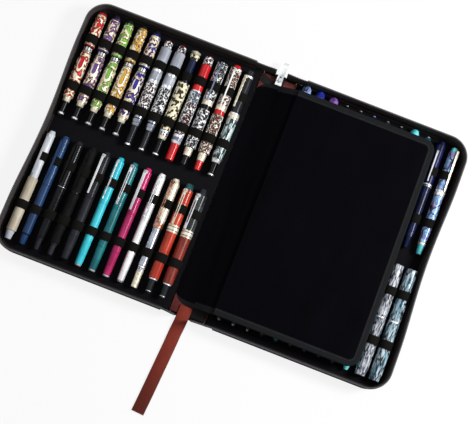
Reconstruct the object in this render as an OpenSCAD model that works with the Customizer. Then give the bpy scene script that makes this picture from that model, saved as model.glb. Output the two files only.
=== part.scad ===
// Zip-round case for 48 fountain pens, lying open and flat.
// X runs from the left cover to the right one, Y along the spine, Z up from the table.
// The origin is the middle of the spine's underside.

/* [Case] */
// Room between the pens' ends and the rim
end_room = 11.5; // [11:0.5:20]
// Room between the last pen's axis and the rim
side_room = 17.3; // [17.2:0.1:24]
// Room over the lining panel for the pens, their loops and their clips
pen_room = 16.9; // [16.6:0.1:20]
// How far the fore-edge dips in the middle of its length
waist = 4; // [0:0.5:4.5]
// Radius of the rim's outer corners
corner_r = 28; // [22:1:28]

/* [Covers] */
// Thickness of the outer leather of a cover
shell_t = 1.2; // [0.8:0.1:1.6]
// Thickness of the stiff board in a cover
board_t = 1.8; // [1.2:0.1:2.2]
// Thickness of the foam-backed lining panel
panel_t = 1.5; // [1:0.1:1.9]
// Thickness of the standing wall
wall_t = 1.4; // [1:0.1:1.6]
// How far the wall leans outwards between its foot and the rim
wall_lean = 3; // [1:0.5:3.2]
// Distance from the fold line to where a cover's standing wall starts
wall_start = 10; // [9.5:0.5:14]
// Radius of the piping between panel and wall
piping_r = 0.9; // [0.6:0.1:1]

/* [Zip] */
// Thickness of the zip tape
tape_t = 1; // [0.6:0.1:1.2]
// Height of the zip tape that stands above the wall
tape_rise = 7; // [5:0.5:9]
// Diameter of the zip's chain
coil_d = 2.6; // [2:0.1:3]
// Length of the slider's body
slider_l = 10; // [9:0.5:12]
// Width of the slider's body
slider_w = 8.4; // [7.5:0.1:9]
// Thickness of the slider's plates
slider_t = 1.2; // [0.9:0.1:1.4]
// Reach of the pull tab from its pivot
pull_l = 24; // [20:0.5:28]
// Width of the pull tab
pull_w = 8.6; // [7.5:0.1:9.2]
// Thickness of the pull tab
pull_t = 1.4; // [1:0.1:1.6]
// Radius of the bar that the pull tab turns on
pull_bar_r = 0.8; // [0.6:0.05:0.9]

/* [Spine] */
// Thickness of the spine's outer leather
spine_leather_t = 1; // [0.8:0.1:1.2]
// Thickness of the stiff board in the spine
spine_board_t = 0.8; // [0.6:0.1:1]
// Thickness of the spine's leather lining
spine_lining_t = 0.7; // [0.5:0.1:0.9]
// Width of each soft leather hinge beside the spine
hinge_w = 4.4; // [3.6:0.1:5]

/* [Page] */
// Distance from the fold line to the page's inner edge
page_start = 4; // [3.5:0.1:6]
// Room between the page's outer edge and the rim
page_side_room = 43; // [42:1:60]
// Room between the page's ends and the rim
page_end_room = 17; // [16:1:24]
// Radius of the page's outer corners
page_corner_r = 15; // [11:1:20]
// Thickness of the stiff board in the page
page_board_t = 2; // [1.4:0.1:2.2]
// Thickness of each velvet pad of the page
page_pad_t = 1.2; // [0.8:0.1:1.3]
// Width of the binding round the page
binding_w = 8.5; // [6:0.5:10]
// Thickness of the slack cloth between spine and page
gusset_t = 1; // [0.6:0.1:1.2]

/* [Pens] */
// Distance from one pen to the next
pen_pitch = 18.35; // [18.1:0.05:18.6]
// Distance from the fold line to the first pen's axis
first_pen = 13.2; // [12.8:0.1:15]
// Length of a capped pen
pen_l = 144; // [138:1:145]
// Gap between the two rows of pens
row_gap = 24; // [20:1:30]
// How far the rows' middle lies above the case's middle
row_shift = 2.5; // [0:0.5:3]
// Width of an elastic loop band
loop_w = 11; // [8:0.5:13]
// Thickness of the elastic
loop_t = 1; // [0.7:0.1:1.1]
// Distance of the first loop band from the top of the upper pens
upper_loop = 41; // [39:1:46]
// Distance of the first loop band from the top of the lower pens
lower_loop = 34; // [30:1:40]
// Distance between the two loop bands of a row
loop_step = 64.5; // [60:0.5:68]
// Width of a pen's clip
clip_w = 3; // [2:0.5:3.6]
// Thickness of a pen's clip
clip_t = 0.9; // [0.7:0.1:1.1]

/* [Strap] */
// Width of the strap
strap_w = 16; // [12:0.5:17]
// Thickness of the strap
strap_t = 1.8; // [1.2:0.1:1.9]
// Length of the strap as it lies
strap_l = 140; // [120:1:150]

/* [Hidden] */
$fn = 48;

LEFT = -1;
RIGHT = 1;
UPPER = 0;
LOWER = 1;
COLUMNS = 12;

// Gap between two pieces that lie face to face
seat = 0.1;
// Gap between a pen and its loop, and between a pen and its panel
pen_fit = 0.15;

spine_top = spine_leather_t + spine_board_t + spine_lining_t;
// The covers fold about lines level with the top of the spine.
fold_z = spine_top - seat;
panel_z = shell_t + board_t + panel_t;
// The page lies over the pens, and the rim stands just above the page.
page_t = page_board_t + 2 * page_pad_t;
page_z = panel_z + pen_room;
rim_z = page_z + page_t + 2 * seat;
// Half the gap that the two rims leave when the case is closed
closing_gap = 0.4;
// The fold lines are as far apart as the closed case is deep.
fold_x = rim_z + closing_gap - fold_z;
// Gap between the fold line and the first stiff layer of a cover
fold_gap = 0.6;
// How far a soft hinge reaches from the fold line towards the spine
hinge_inner = 2.2;

function pen_x(column) = fold_x + first_pen + column * pen_pitch;
cover_reach = pen_x(COLUMNS - 1) + side_room;
case_h = 2 * pen_l + row_gap + 2 * end_room;

// ---- rim line ---------------------------------------------------------------------------
// Distance from the middle to the fore-edge's widest places
bulge_y = 110;
arc_steps = 8;
fore_steps = 14;
corner_y = case_h / 2 - corner_r;
// Inset of the wall's inner face at the rim and at its foot
rim_inset = 1;
wall_foot = wall_lean + rim_inset;

function fore_x(y) = cover_reach - waist * pow(max(0, 1 - pow(y / bulge_y, 2)), 2);

// Points of the rim line from the spine's upper end round the cover to its lower end
function rim_line(inset, start) = concat(
    [[start, case_h / 2 - inset]],
    [for (i = [0:arc_steps]) let (a = 90 - 90 * i / arc_steps)
        [cover_reach - corner_r + (corner_r - inset) * cos(a), corner_y + (corner_r - inset) * sin(a)]],
    [for (i = [1:fore_steps - 1]) let (y = corner_y * (1 - 2 * i / fore_steps)) [fore_x(y) - inset, y]],
    [for (i = [0:arc_steps]) let (a = -90 * i / arc_steps)
        [cover_reach - corner_r + (corner_r - inset) * cos(a), -corner_y + (corner_r - inset) * sin(a)]],
    [[start, inset - case_h / 2]]
);

// Inset of the wall's inner face at height z
function wall_inset(z) = wall_foot - wall_lean * (z - shell_t) / (rim_z - shell_t);

module on(side) {
    mirror([side == LEFT ? 1 : 0, 0, 0]) children();
}

// A flat layer of a cover, from its start line to the given inset of the rim
module layer(start, inset, z, t) {
    translate([0, 0, z]) linear_extrude(t) polygon(rim_line(inset, start));
}

// Profile points [inset, z] carried along the rim
module along_rim(profile) {
    lines = [for (p = profile) rim_line(p[0], fold_x + wall_start)];
    m = len(profile);
    n = len(lines[0]);
    points = [for (i = [0:n - 1]) for (j = [0:m - 1]) [lines[j][i][0], lines[j][i][1], profile[j][1]]];
    sides = [for (i = [0:n - 2]) for (j = [0:m - 1])
        let (k = (j + 1) % m) [i * m + j, i * m + k, (i + 1) * m + k, (i + 1) * m + j]];
    ends = [[for (j = [m - 1:-1:0]) j], [for (j = [0:m - 1]) (n - 1) * m + j]];
    polyhedron(points, concat(sides, ends), convexity = 6);
}

// Profile of a leaning strip whose inner face lies `back` inside the wall's inner face
function strip(back, t, low, high) = [
    [wall_inset(low) + back, low], [wall_inset(high) + back, high],
    [wall_inset(high) + back - t, high], [wall_inset(low) + back - t, low]
];

// Profile of a round bead
function bead(inset, z, r) = [for (a = [0:45:315]) [inset + r * cos(a), z + r * sin(a)]];

// ---- covers -----------------------------------------------------------------------------
// How far the tape is sewn down behind the wall
tape_seam = 4;
wall_top = rim_z - tape_rise;
tape_low = wall_top - tape_seam;
tape_top = rim_z - coil_d;
shell_inset = wall_foot - wall_t;
board_inset = wall_foot + seat;
panel_inset = wall_inset(shell_t + board_t) + seat;
coil_r = coil_d / 2 - seat;
coil_z = rim_z - coil_r;

module outer_shell(side) {
    color("#17181a") on(side) layer(fold_x + hinge_w - hinge_inner, shell_inset, 0, shell_t);
}

module stiffener(side) {
    color("#8a7a5e") on(side) layer(fold_x + fold_gap, board_inset, shell_t, board_t);
}

module lining_panel(side) {
    color("#141414") on(side) layer(fold_x + fold_gap, panel_inset, shell_t + board_t, panel_t);
}

module wall(side) {
    color("#1b1c1e") on(side) along_rim(strip(0, wall_t, shell_t + seat, wall_top));
}

module piping(side) {
    z = panel_z + seat + piping_r;
    color("#242424") on(side) along_rim(bead(wall_inset(z) + piping_r + 2 * seat, z, piping_r));
}

module zip_tape(side) {
    color("#101114") on(side) along_rim(strip(tape_t + seat, tape_t, tape_low, tape_top));
}

module zip_coil(side) {
    color("#2a2b2e") on(side)
        along_rim(bead(wall_inset(coil_z) + tape_t / 2 + seat, coil_z, coil_r));
}

// ---- pens -------------------------------------------------------------------------------
// A pen is [its drop below the row's top, [start, length, turn outwards] of its clip or 0,
// steps from the cap's top: [length, radius], last radius].
relief_pen = [0, 0, [[6, 4.6], [40, 7.5], [5, 7], [7, 5.4], [44, 7.5], [19, 6.6], [6, 4.8]], 3.8];
sculpted_pen = [5, 0, [[2, 3.5], [9, 5.5], [34, 7], [16, 7.2], [39, 7.5], [22, 6.6]], 4];
star_pen = [5, 0, [[2, 3.2], [11, 6.5], [32, 4.8], [56, 7.5], [22, 6.2]], 3.8];
lacquer_pen = [5, 0, [[2, 3.6], [11, 6], [38, 6.6], [16, 7], [32, 7.4], [23, 6.6]], 5.2];
filigree_pen = [4, [6, 52, 8], [[4, 5.4], [52, 7.2], [7, 6.9], [6, 6.6], [52, 7.4], [11, 5.2]], 3.9];
facet_pen_shape = [4, [8, 44, 34], [[10, 5.2], [49, 5.8], [9, 6.9], [54, 6.8], [5, 5.8]], 4];
two_part_pen = [0, [5, 53, 22], [[4, 4.2], [59, 5], [70, 6.2]], 5];
slim_pen = [0, [5, 53, 20], [[4, 4.6], [62, 5.6], [66, 5.4]], 4.4];
thick_pen = [0, [6, 51, 24], [[5, 5], [58, 6.4], [68, 6]], 3.6];
clip_pen_steps = [[5, 4.8], [57, 6], [68, 5.8]];
clip_pen = [0, [4, 53, 24], clip_pen_steps, 4.6];
navy_pen = [0, [14, 42, -18], clip_pen_steps, 4.6];
silver_pen_shape = [0, [4, 55, 12], [[5, 4.4], [58, 5.2], [68, 4.8]], 4.2];
slim_clip_pen = [0, [4, 53, 16], [[5, 4.2], [56, 5.5], [68, 5.2]], 4.4];
cream_pen_shape = [0, [4, 56, 26], [[6, 5], [52, 6.3], [8, 6.5], [50, 5.2]], 4.3];
large_pen_steps = [[8, 5.4], [49, 7], [8, 7.3], [60, 6.8]];
large_pen = [0, [8, 47, 18], large_pen_steps, 5.4];
first_large_pen = [0, [8, 47, 34], large_pen_steps, 5.4];
fat_pen = [0, 0, [[6, 7.2], [60, 7.5], [6, 7.2], [64, 7.5]], 7];
row_pen = [0, 0, [[8, 4.6], [54, 6.3], [70, 6]], 4.4];
// Domed pens stand higher in their loops than the others
function dome_pen(rise) = [-rise, 0, [[3, 4.4], [5, 5.4], [54, 6.4], [70, 6]], 4.6];
pearl_pen_shape = [2, [4, 56, 24], [[6, 5], [52, 6.4], [8, 6.7], [50, 6.2], [16, 5.6]], 4.4];

// The pens of each row, from the spine outwards
left_upper = [facet_pen_shape, filigree_pen, filigree_pen, lacquer_pen, star_pen, sculpted_pen,
    sculpted_pen, relief_pen, relief_pen, relief_pen, relief_pen, relief_pen];
left_lower = [first_large_pen, large_pen, cream_pen_shape, silver_pen_shape, slim_clip_pen,
    slim_clip_pen, slim_clip_pen, clip_pen, thick_pen, thick_pen, slim_pen, two_part_pen];
right_upper = [dome_pen(5), dome_pen(4), dome_pen(3), for (i = [3:7]) row_pen, dome_pen(2), row_pen,
    navy_pen, pearl_pen_shape];
right_lower = [for (i = [0:8]) row_pen, two_part_pen, fat_pen, fat_pen];

function pen(side, row, column) =
    (side == LEFT ? (row == UPPER ? left_upper : left_lower)
        : (row == UPPER ? right_upper : right_lower))[column];

function sum(v, n, i = 0) = i >= n ? 0 : v[i][0] + sum(v, n, i + 1);

// The steps of a pen with the last one, which takes what is left of its length
function steps(p) = concat(p[2], [[pen_l - sum(p[2], len(p[2])), p[3]]]);
function thickest(p) = max([for (s = p[2]) s[1]]);

// Largest radius of a pen between two distances from its top
function radius_between(p, from, to) = let (s = steps(p))
    max([for (i = [0:len(s) - 1]) if (sum(s, i) < to && sum(s, i + 1) > from) s[i][1]]);

function pen_z(p) = panel_z + pen_fit + thickest(p);
function row_top(row) = row == UPPER ? row_shift + row_gap / 2 + pen_l : row_shift - row_gap / 2;
function loop_at(row, i) = (row == UPPER ? upper_loop : lower_loop) + i * loop_step;
function loop_r(p, row, i) = let (at = loop_at(row, i) - p[0])
    radius_between(p, at - loop_w / 2, at + loop_w / 2) + pen_fit;

// Outline of the pen's half, along its length
function half_outline(p) = let (s = steps(p)) concat(
    [[0, 0]],
    [for (i = [0:len(s) - 1]) for (e = [0, 1]) [s[i][1], sum(s, i + e)]],
    [[0, pen_l]]
);

lug_l = 4;

module clip(p, row) {
    lift = loop_r(p, row, 0) + loop_t + 2 * seat;
    rotate([0, p[1][2], 0]) {
        translate([-clip_w / 2, -p[1][0] - p[1][1], lift]) cube([clip_w, p[1][1], clip_t]);
        translate([-clip_w / 2, -p[1][0] - lug_l, 0]) cube([clip_w, lug_l, lift + clip_t]);
    }
}

module place_pen(side, row, column) {
    p = pen(side, row, column);
    on(side) translate([pen_x(column), row_top(row) - p[0], pen_z(p)]) {
        rotate([90, 0, 0]) rotate_extrude() polygon(half_outline(p));
        if (is_list(p[1])) clip(p, row);
    }
}

// ---- loops ------------------------------------------------------------------------------
// Cross-section of an arch of radius r over a pen
module arch(p, r) {
    translate([0, pen_z(p)]) circle(r);
    translate([-r, panel_z + seat]) square([2 * r, pen_z(p) - panel_z - seat]);
}

module loop_band(side, row, i) {
    first = pen_x(0) - pen_pitch / 2;
    last = pen_x(COLUMNS - 1) + loop_r(pen(side, row, COLUMNS - 1), row, i);
    on(side) translate([0, row_top(row) - loop_at(row, i) + loop_w / 2, 0]) rotate([90, 0, 0])
        linear_extrude(loop_w) difference() {
            union() {
                translate([first, panel_z + seat]) square([last - first, loop_t]);
                for (column = [0:COLUMNS - 1]) {
                    p = pen(side, row, column);
                    translate([pen_x(column), 0]) arch(p, loop_r(p, row, i) + loop_t);
                }
            }
            for (column = [0:COLUMNS - 1]) {
                p = pen(side, row, column);
                translate([pen_x(column), 0]) arch(p, loop_r(p, row, i));
            }
            translate([first, 0]) square([COLUMNS * pen_pitch, panel_z + seat]);
        }
}

module pen_loops(side) {
    color("#20201c") for (row = [UPPER, LOWER]) for (i = [0, 1]) loop_band(side, row, i);
}

// ---- spine ------------------------------------------------------------------------------
// Gap between the fold line and the spine's stiff layers
stack_gap = 0.5;
// How far the spine's leather ends inside the rim, and its lining inside the leather
spine_margin = 1.5;
lining_margin = 4;
spine_end = case_h / 2 - spine_margin;
lining_end = spine_end - lining_margin;

module spine_leather() {
    half = fold_x - hinge_inner - seat;
    color("#17181a") translate([-half, -spine_end, 0]) cube([2 * half, 2 * spine_end, spine_leather_t]);
}

module spine_board() {
    half = fold_x - stack_gap;
    color("#8a7a5e") translate([-half, -lining_end, spine_leather_t])
        cube([2 * half, 2 * lining_end, spine_board_t]);
}

module spine_lining() {
    half = fold_x - stack_gap;
    color("#6d2c22") translate([-half, -lining_end, spine_leather_t + spine_board_t])
        cube([2 * half, 2 * lining_end, spine_lining_t]);
}

module hinge_leather() {
    end = case_h / 2 - shell_inset;
    color("#1c1d1f") for (side = [LEFT, RIGHT]) on(side)
        translate([fold_x - hinge_inner, -end, 0])
            cube([hinge_w - seat, 2 * end, spine_leather_t - seat]);
}

// ---- page -------------------------------------------------------------------------------
page_x = fold_x + page_start;
page_w = cover_reach - page_side_room - page_x;
page_h = case_h - 2 * page_end_room;
page_axis_z = page_z + page_t / 2;
// How far the page's middle lies above the case's middle
page_y = 0.5;

// One outer corner of the page, its arc from one angle to another
function page_corner(inset, end, from, to) = [for (i = [0:6]) let (a = from + (to - from) * i / 6)
    [page_x + page_w - page_corner_r + (page_corner_r - inset) * cos(a),
        end * (page_h / 2 - page_corner_r) + (page_corner_r - inset) * sin(a)]];

// Outline of the page, smaller all round except at its inner edge
function page_outline(inset) = concat(
    [[page_x, page_h / 2 - inset]], page_corner(inset, 1, 90, 0),
    page_corner(inset, -1, 0, -90), [[page_x, inset - page_h / 2]]
);

module page_layer(inset, z, t) {
    translate([0, page_y, page_z + z]) linear_extrude(t) polygon(page_outline(inset));
}

// Thickness of the binding at the page's edge
binding_edge = 1.1;

module page_board() {
    color("#8a7a5e") page_layer(binding_edge, page_pad_t, page_board_t);
}

module page_pads() {
    color("#0b0c12") {
        page_layer(binding_w, 0, page_pad_t);
        page_layer(binding_w, page_pad_t + page_board_t, page_pad_t);
    }
}

module page_binding() {
    color("#222326") difference() {
        page_layer(0, 0, page_t);
        page_layer(binding_edge, page_pad_t, page_board_t);
        page_layer(binding_w, -1, page_t + 2);
    }
}

// Where the slack cloth starts on the spine, and how late it starts to rise
gusset_from = 2 - fold_x;
gusset_slack = 1.35;
gusset_low = spine_top + seat + gusset_t / 2;
gusset_h = page_h - 2;
gusset_steps = 12;

// Middle line of the slack cloth between the spine and the page's inner edge
gusset_line = [for (i = [0:gusset_steps]) let (u = i / gusset_steps)
    [gusset_from + (page_x - seat - gusset_from) * u,
        gusset_low + (page_axis_z - gusset_low) * (1 - cos(180 * pow(u, gusset_slack))) / 2]];

module page_gusset() {
    below = [for (p = gusset_line) [p[0], p[1] - gusset_t / 2]];
    above = [for (i = [gusset_steps:-1:0]) [gusset_line[i][0], gusset_line[i][1] + gusset_t / 2]];
    color("#0b0c12") translate([0, page_y + gusset_h / 2, 0]) rotate([90, 0, 0])
        linear_extrude(gusset_h) polygon(concat(below, above));
}

// ---- zip end and slider -----------------------------------------------------------------
// Tab that carries the closed end of the chain
tab_w = 14;
tab_t = 1.6;
tab_from = page_y + page_h / 2;
tab_to = spine_end;
chain_w = 3;
chain_z = spine_top + seat + tab_t;
// How far the slider can run, and the chain that stays in front of it
slider_run = 4;
chain_spare = 0.5;
// Distance from the middle to the tapes' ends on the left and right of the strap
left_strap_side = 15;
right_strap_side = 5;
// Gap between the chain and the slider that runs on it
slider_fit = 0.3;
slider_y = tab_to - slider_l - slider_run - chain_spare;
slider_floor = chain_z + 2 * seat;
slider_roof = chain_z + coil_d + slider_fit;
slider_top = slider_roof + slider_t;
// Lug on the slider, and the bar of the pull tab in it
lug_w = 2.4;
lug_r = 2.2;
lug_foot = 6.8;
pivot_y = slider_y + slider_l - lug_foot / 2;
pivot_z = slider_top + pull_t;
pivot_fit = 0.25;

module zip_end_tab() {
    color("#101114") translate([-tab_w / 2, tab_from, spine_top + seat])
        cube([tab_w, tab_to - tab_from, tab_t]);
}

module zip_end_chain() {
    color("#2a2b2e") translate([-chain_w / 2, tab_from, chain_z])
        cube([chain_w, tab_to - tab_from, coil_d]);
}

// The tapes' ends leave the walls and run down to the spine's two ends.
module zip_tape_ends() {
    tip = 1;
    // The tapes pass over the panels' corners.
    over_panel = 2.6;
    // Height of the tapes beside the slider and the strap, and how far outwards they run
    end_rise = 19;
    run_out = 1.2;
    beside_slider = 3;
    beside_strap = [left_strap_side, right_strap_side];
    at_wall = fold_x + wall_start - seat - tip;
    wall_y = case_h / 2 - wall_inset(wall_top) - tape_t - seat;
    color("#101114") for (side = [LEFT, RIGHT]) on(side) for (end = [-1, 1])
        mirror([0, end > 0 ? 0 : 1, 0]) hull() {
            translate([at_wall, wall_y, panel_z + over_panel])
                cube([tip, tape_t, tape_top - panel_z - over_panel]);
            translate([end > 0 ? slider_w / 2 + beside_slider : beside_strap[side == LEFT ? 0 : 1],
                wall_y + run_out, spine_top + seat]) cube([tip, tape_t, end_rise]);
        }
}

module slider_body() {
    color("#c9ccd0") {
        translate([-slider_w / 2, slider_y, slider_roof]) cube([slider_w, slider_l, slider_t]);
        for (side = [LEFT, RIGHT]) on(side)
            translate([chain_w / 2 + slider_fit, slider_y, slider_floor])
                cube([slider_w / 2 - chain_w / 2 - slider_fit, slider_l, slider_roof - slider_floor]);
        difference() {
            hull() {
                translate([-lug_w / 2, pivot_y, pivot_z]) rotate([0, 90, 0]) cylinder(lug_w, r = lug_r);
                translate([-lug_w / 2, pivot_y - lug_foot / 2, slider_top - seat])
                    cube([lug_w, lug_foot, seat]);
            }
            translate([-lug_w, pivot_y, pivot_z]) rotate([0, 90, 0])
                cylinder(2 * lug_w, r = pull_bar_r + pivot_fit);
        }
    }
}

module pull_tab() {
    arm = pull_bar_r + 2 * seat;
    slot_w = lug_w + 2 * slider_fit;
    // The slot clears the lug as the tab swings.
    slot_l = lug_foot / 2 + 2;
    // Small window near the tab's free end
    window_l = 2;
    window_from = pull_l - 2.4 - window_l;
    color("#d4d7da") {
        translate([-pull_w / 2 + pull_bar_r, pivot_y, pivot_z]) rotate([0, 90, 0])
            cylinder(pull_w - 2 * pull_bar_r, r = pull_bar_r);
        difference() {
            translate([-pull_w / 2, pivot_y - arm, pivot_z - pull_t / 2])
                cube([pull_w, pull_l + arm, pull_t]);
            translate([-slot_w / 2, pivot_y - 2 * arm, pivot_z - pull_t])
                cube([slot_w, 2 * arm + slot_l, 2 * pull_t]);
            translate([-pull_w / 4, pivot_y + window_from, pivot_z - pull_t])
                cube([pull_w / 2, window_l, 2 * pull_t]);
        }
    }
}

// ---- strap ------------------------------------------------------------------------------
// Middle line of the strap: sewn inside the case, over the spine's end and down to the table.
// Its sewn end's distance inside the case and to the left, and how far it runs to the left
strap_sewn = 16;
strap_side = 5;
strap_drift = 9;
strap_low = seat + strap_t / 2;
strap_high = spine_top + 2 * seat + strap_t / 2;
// [share of the run to the left, share of the length, share of the height]
strap_course = [
    [0, 0, 1], [0, 6 / 140, 1], [0.2 / 9, 12 / 140, 1], [0.6 / 9, 18 / 140, 0.846],
    [1.2 / 9, 26 / 140, 0.346], [2 / 9, 35 / 140, 0.04], [3 / 9, 54 / 140, 0],
    [5 / 9, 84 / 140, 0], [7 / 9, 114 / 140, 0], [1, 1, 0]
];
strap_route = [for (p = strap_course) [
    -strap_side - p[0] * strap_drift,
    strap_sewn - p[1] * strap_l,
    strap_low + p[2] * (strap_high - strap_low)
]];

// Flat section of the strap, in its own plane
strap_section = [
    [-0.5, -0.2], [-0.47, -0.5], [0.47, -0.5], [0.5, -0.2], [0.5, 0.2], [0.47, 0.5], [-0.47, 0.5], [-0.5, 0.2]
];

module strap() {
    n = len(strap_route);
    m = len(strap_section);
    points = [for (p = strap_route) for (s = strap_section)
        [p[0] + s[0] * strap_w, p[1], p[2] + s[1] * strap_t]];
    sides = [for (i = [0:n - 2]) for (j = [0:m - 1])
        let (k = (j + 1) % m) [i * m + j, (i + 1) * m + j, (i + 1) * m + k, i * m + k]];
    ends = [[for (j = [0:m - 1]) j], [for (j = [m - 1:-1:0]) (n - 1) * m + j]];
    color("#78372d") translate([0, -case_h / 2, 0])
        polyhedron(points, concat(sides, ends), convexity = 4);
}

spine_leather();
spine_board();
spine_lining();
hinge_leather();
page_gusset();
zip_end_tab();
zip_end_chain();
zip_tape_ends();
strap();
slider_body();
pull_tab();

outer_shell(LEFT);  // left_outer_shell
stiffener(LEFT);  // left_stiffener
lining_panel(LEFT);  // left_lining_panel
wall(LEFT);  // left_wall
piping(LEFT);  // left_piping
zip_tape(LEFT);  // left_zip_tape
zip_coil(LEFT);  // left_zip_coil
pen_loops(LEFT);  // left_pen_loops
outer_shell(RIGHT);  // right_outer_shell
stiffener(RIGHT);  // right_stiffener
lining_panel(RIGHT);  // right_lining_panel
wall(RIGHT);  // right_wall
piping(RIGHT);  // right_piping
zip_tape(RIGHT);  // right_zip_tape
zip_coil(RIGHT);  // right_zip_coil
pen_loops(RIGHT);  // right_pen_loops
page_board();
page_pads();
page_binding();

color("#b8342c") place_pen(LEFT, UPPER, 11);  // red_relief_pen
color("#6a4078") place_pen(LEFT, UPPER, 10);  // purple_relief_pen
color("#4f7a3c") place_pen(LEFT, UPPER, 9);  // green_relief_pen
color("#d8b43a") place_pen(LEFT, UPPER, 8);  // yellow_relief_pen
color("#3d4a86") place_pen(LEFT, UPPER, 7);  // indigo_relief_pen
color("#a8a4a0") place_pen(LEFT, UPPER, 6);  // red_topped_pen
color("#8f9296") place_pen(LEFT, UPPER, 5);  // grey_topped_pen
color("#d9cfae") place_pen(LEFT, UPPER, 4);  // ivory_star_pen
color("#c8232a") place_pen(LEFT, UPPER, 3);  // red_lacquer_pen
color("#a5aab2") place_pen(LEFT, UPPER, 2);  // silver_filigree_pen
color("#b59a86") place_pen(LEFT, UPPER, 1);  // orange_filigree_pen
color("#a9c4c4") place_pen(LEFT, UPPER, 0);  // facet_pen
color("#c9bca4") place_pen(LEFT, LOWER, 11);  // beige_pen
color("#2c3a5e") place_pen(LEFT, LOWER, 10);  // navy_slim_pen
color("#1c1c20") place_pen(LEFT, LOWER, 9);  // gloss_black_pen
color("#1e1e1e") place_pen(LEFT, LOWER, 8);  // matte_black_pen
color("#26272b") place_pen(LEFT, LOWER, 7);  // black_clip_pen
color("#38b7c4") place_pen(LEFT, LOWER, 6);  // turquoise_pen
color("#2b7d88") place_pen(LEFT, LOWER, 5);  // teal_pen
color("#c8337f") place_pen(LEFT, LOWER, 4);  // pink_pen
color("#b9bcc0") place_pen(LEFT, LOWER, 3);  // silver_pen
color("#d6cdb6") place_pen(LEFT, LOWER, 2);  // cream_pen
color("#c9482c") place_pen(LEFT, LOWER, 1);  // orange_pen
color("#9a3a2a") place_pen(LEFT, LOWER, 0);  // brick_pen
color("#4a3f78") for (column = [0:9]) place_pen(RIGHT, UPPER, column);  // right_upper_row_pens
color("#28335c") place_pen(RIGHT, UPPER, 10);  // navy_clip_pen
color("#a56a9a") place_pen(RIGHT, UPPER, 11);  // pearl_pen
color("#3a4654") for (column = [0:9]) place_pen(RIGHT, LOWER, column);  // right_lower_row_pens
color("#aeb6bd") for (column = [10:11]) place_pen(RIGHT, LOWER, column);  // marble_pens
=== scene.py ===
# %% [markdown]
# # A zip-round case for fountain pens
#
# The real object is a big case that opens flat like a book: two stiff covers with a standing wall
# and a zip round them, two rows of twelve pens in elastic loops on each side, a velvet page that
# lies over the pens of the right side, and a brown leather strap. This notebook dresses a fixed
# frame, the solid model of the case, so that every piece looks like what it is made of.
# All places are given in millimetres, as a maker would measure them, and turned into metres.

# %% The frame
import math

import bpy
import numpy as np
from mathutils import Matrix, Vector, noise


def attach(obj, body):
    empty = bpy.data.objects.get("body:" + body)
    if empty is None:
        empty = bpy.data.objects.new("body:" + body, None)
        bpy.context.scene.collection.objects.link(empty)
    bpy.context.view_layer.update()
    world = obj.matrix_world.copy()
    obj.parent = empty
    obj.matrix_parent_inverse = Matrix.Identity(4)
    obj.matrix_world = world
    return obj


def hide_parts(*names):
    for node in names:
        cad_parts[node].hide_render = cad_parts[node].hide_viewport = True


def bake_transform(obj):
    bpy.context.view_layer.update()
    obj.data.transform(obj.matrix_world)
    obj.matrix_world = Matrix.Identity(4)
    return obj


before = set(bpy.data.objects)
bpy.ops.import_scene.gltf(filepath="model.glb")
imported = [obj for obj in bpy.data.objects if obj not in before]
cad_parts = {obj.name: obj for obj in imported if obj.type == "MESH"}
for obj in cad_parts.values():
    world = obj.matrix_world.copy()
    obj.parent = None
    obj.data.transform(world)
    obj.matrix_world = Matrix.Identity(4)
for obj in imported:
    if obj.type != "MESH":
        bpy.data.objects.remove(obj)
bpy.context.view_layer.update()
bpy.ops.object.select_all(action="DESELECT")
MM = 0.001

# %% [markdown]
# ## The camera
#
# A camera can be dragged into place by eye, but a place and a direction that are written down stay
# the same in each run. This camera hangs 1.3 m over the table, nearly straight above the case, and
# is turned by nearly a quarter of a right angle, so the case lies slantwise in the picture.

# %% The camera
CAMERA_PLACE, CAMERA_TURN = (0.023222, -0.244394, 1.295643), (9.4353, -3.0103, 20.9667)
bpy.ops.object.camera_add(location=CAMERA_PLACE, rotation=[math.radians(a) for a in CAMERA_TURN])
camera = bpy.context.object
camera.data.lens = 80.1
camera.data.sensor_width = 36
bpy.context.scene.camera = camera
print("Camera height", round(camera.location.z, 3), "m, lens", camera.data.lens, "mm")

# %% [markdown]
# ## Small helpers for making meshes
#
# Modelling by hand is a chain of operators on what is selected. These helpers keep that chain
# short: one leaves an object as the only selected one, one runs operators in edit mode, one applies
# modifiers, and one sweeps a drawn outline along a drawn line, as a sewing machine carries a strip
# of tape along an edge. Another one repeats a tooth or a stitch along a line.


# %% Helpers for meshes
def pick(*objects):
    """Makes these the only selected objects, and the first one active."""
    bpy.ops.object.select_all(action="DESELECT")
    for piece in objects:
        piece.select_set(True)
    bpy.context.view_layer.objects.active = objects[0]


def named(name):
    """Names the object that an operator has just made."""
    piece = bpy.context.object
    piece.name = piece.data.name = name
    return piece


def edit(piece, **steps):
    """Runs mesh operators on all of a piece, each by its name and with its settings."""
    pick(piece)
    bpy.ops.object.mode_set(mode="EDIT")
    for operator, settings in steps.items():
        bpy.ops.mesh.select_all(action="SELECT")
        getattr(bpy.ops.mesh, operator)(**settings)
    bpy.ops.object.mode_set(mode="OBJECT")
    return piece


def settle(piece):
    """Moves an object's place into its mesh, and leaves the object at the origin."""
    pick(piece)
    bpy.ops.object.transform_apply(location=True, rotation=True, scale=True)
    return piece


def modify(piece, kind, **settings):
    """Adds one modifier and applies it."""
    pick(piece)
    modifier = piece.modifiers.new(kind.lower(), kind)
    for key, value in settings.items():
        setattr(modifier, key, value)
    bpy.ops.object.modifier_apply(modifier=modifier.name)
    return piece


def bevel(piece, width, segments=2, angle=50):
    """Rounds the edges that are sharper than the angle."""
    turn = math.radians(angle)
    return modify(
        piece, "BEVEL", width=width * MM, segments=segments, limit_method="ANGLE", angle_limit=turn
    )


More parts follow.
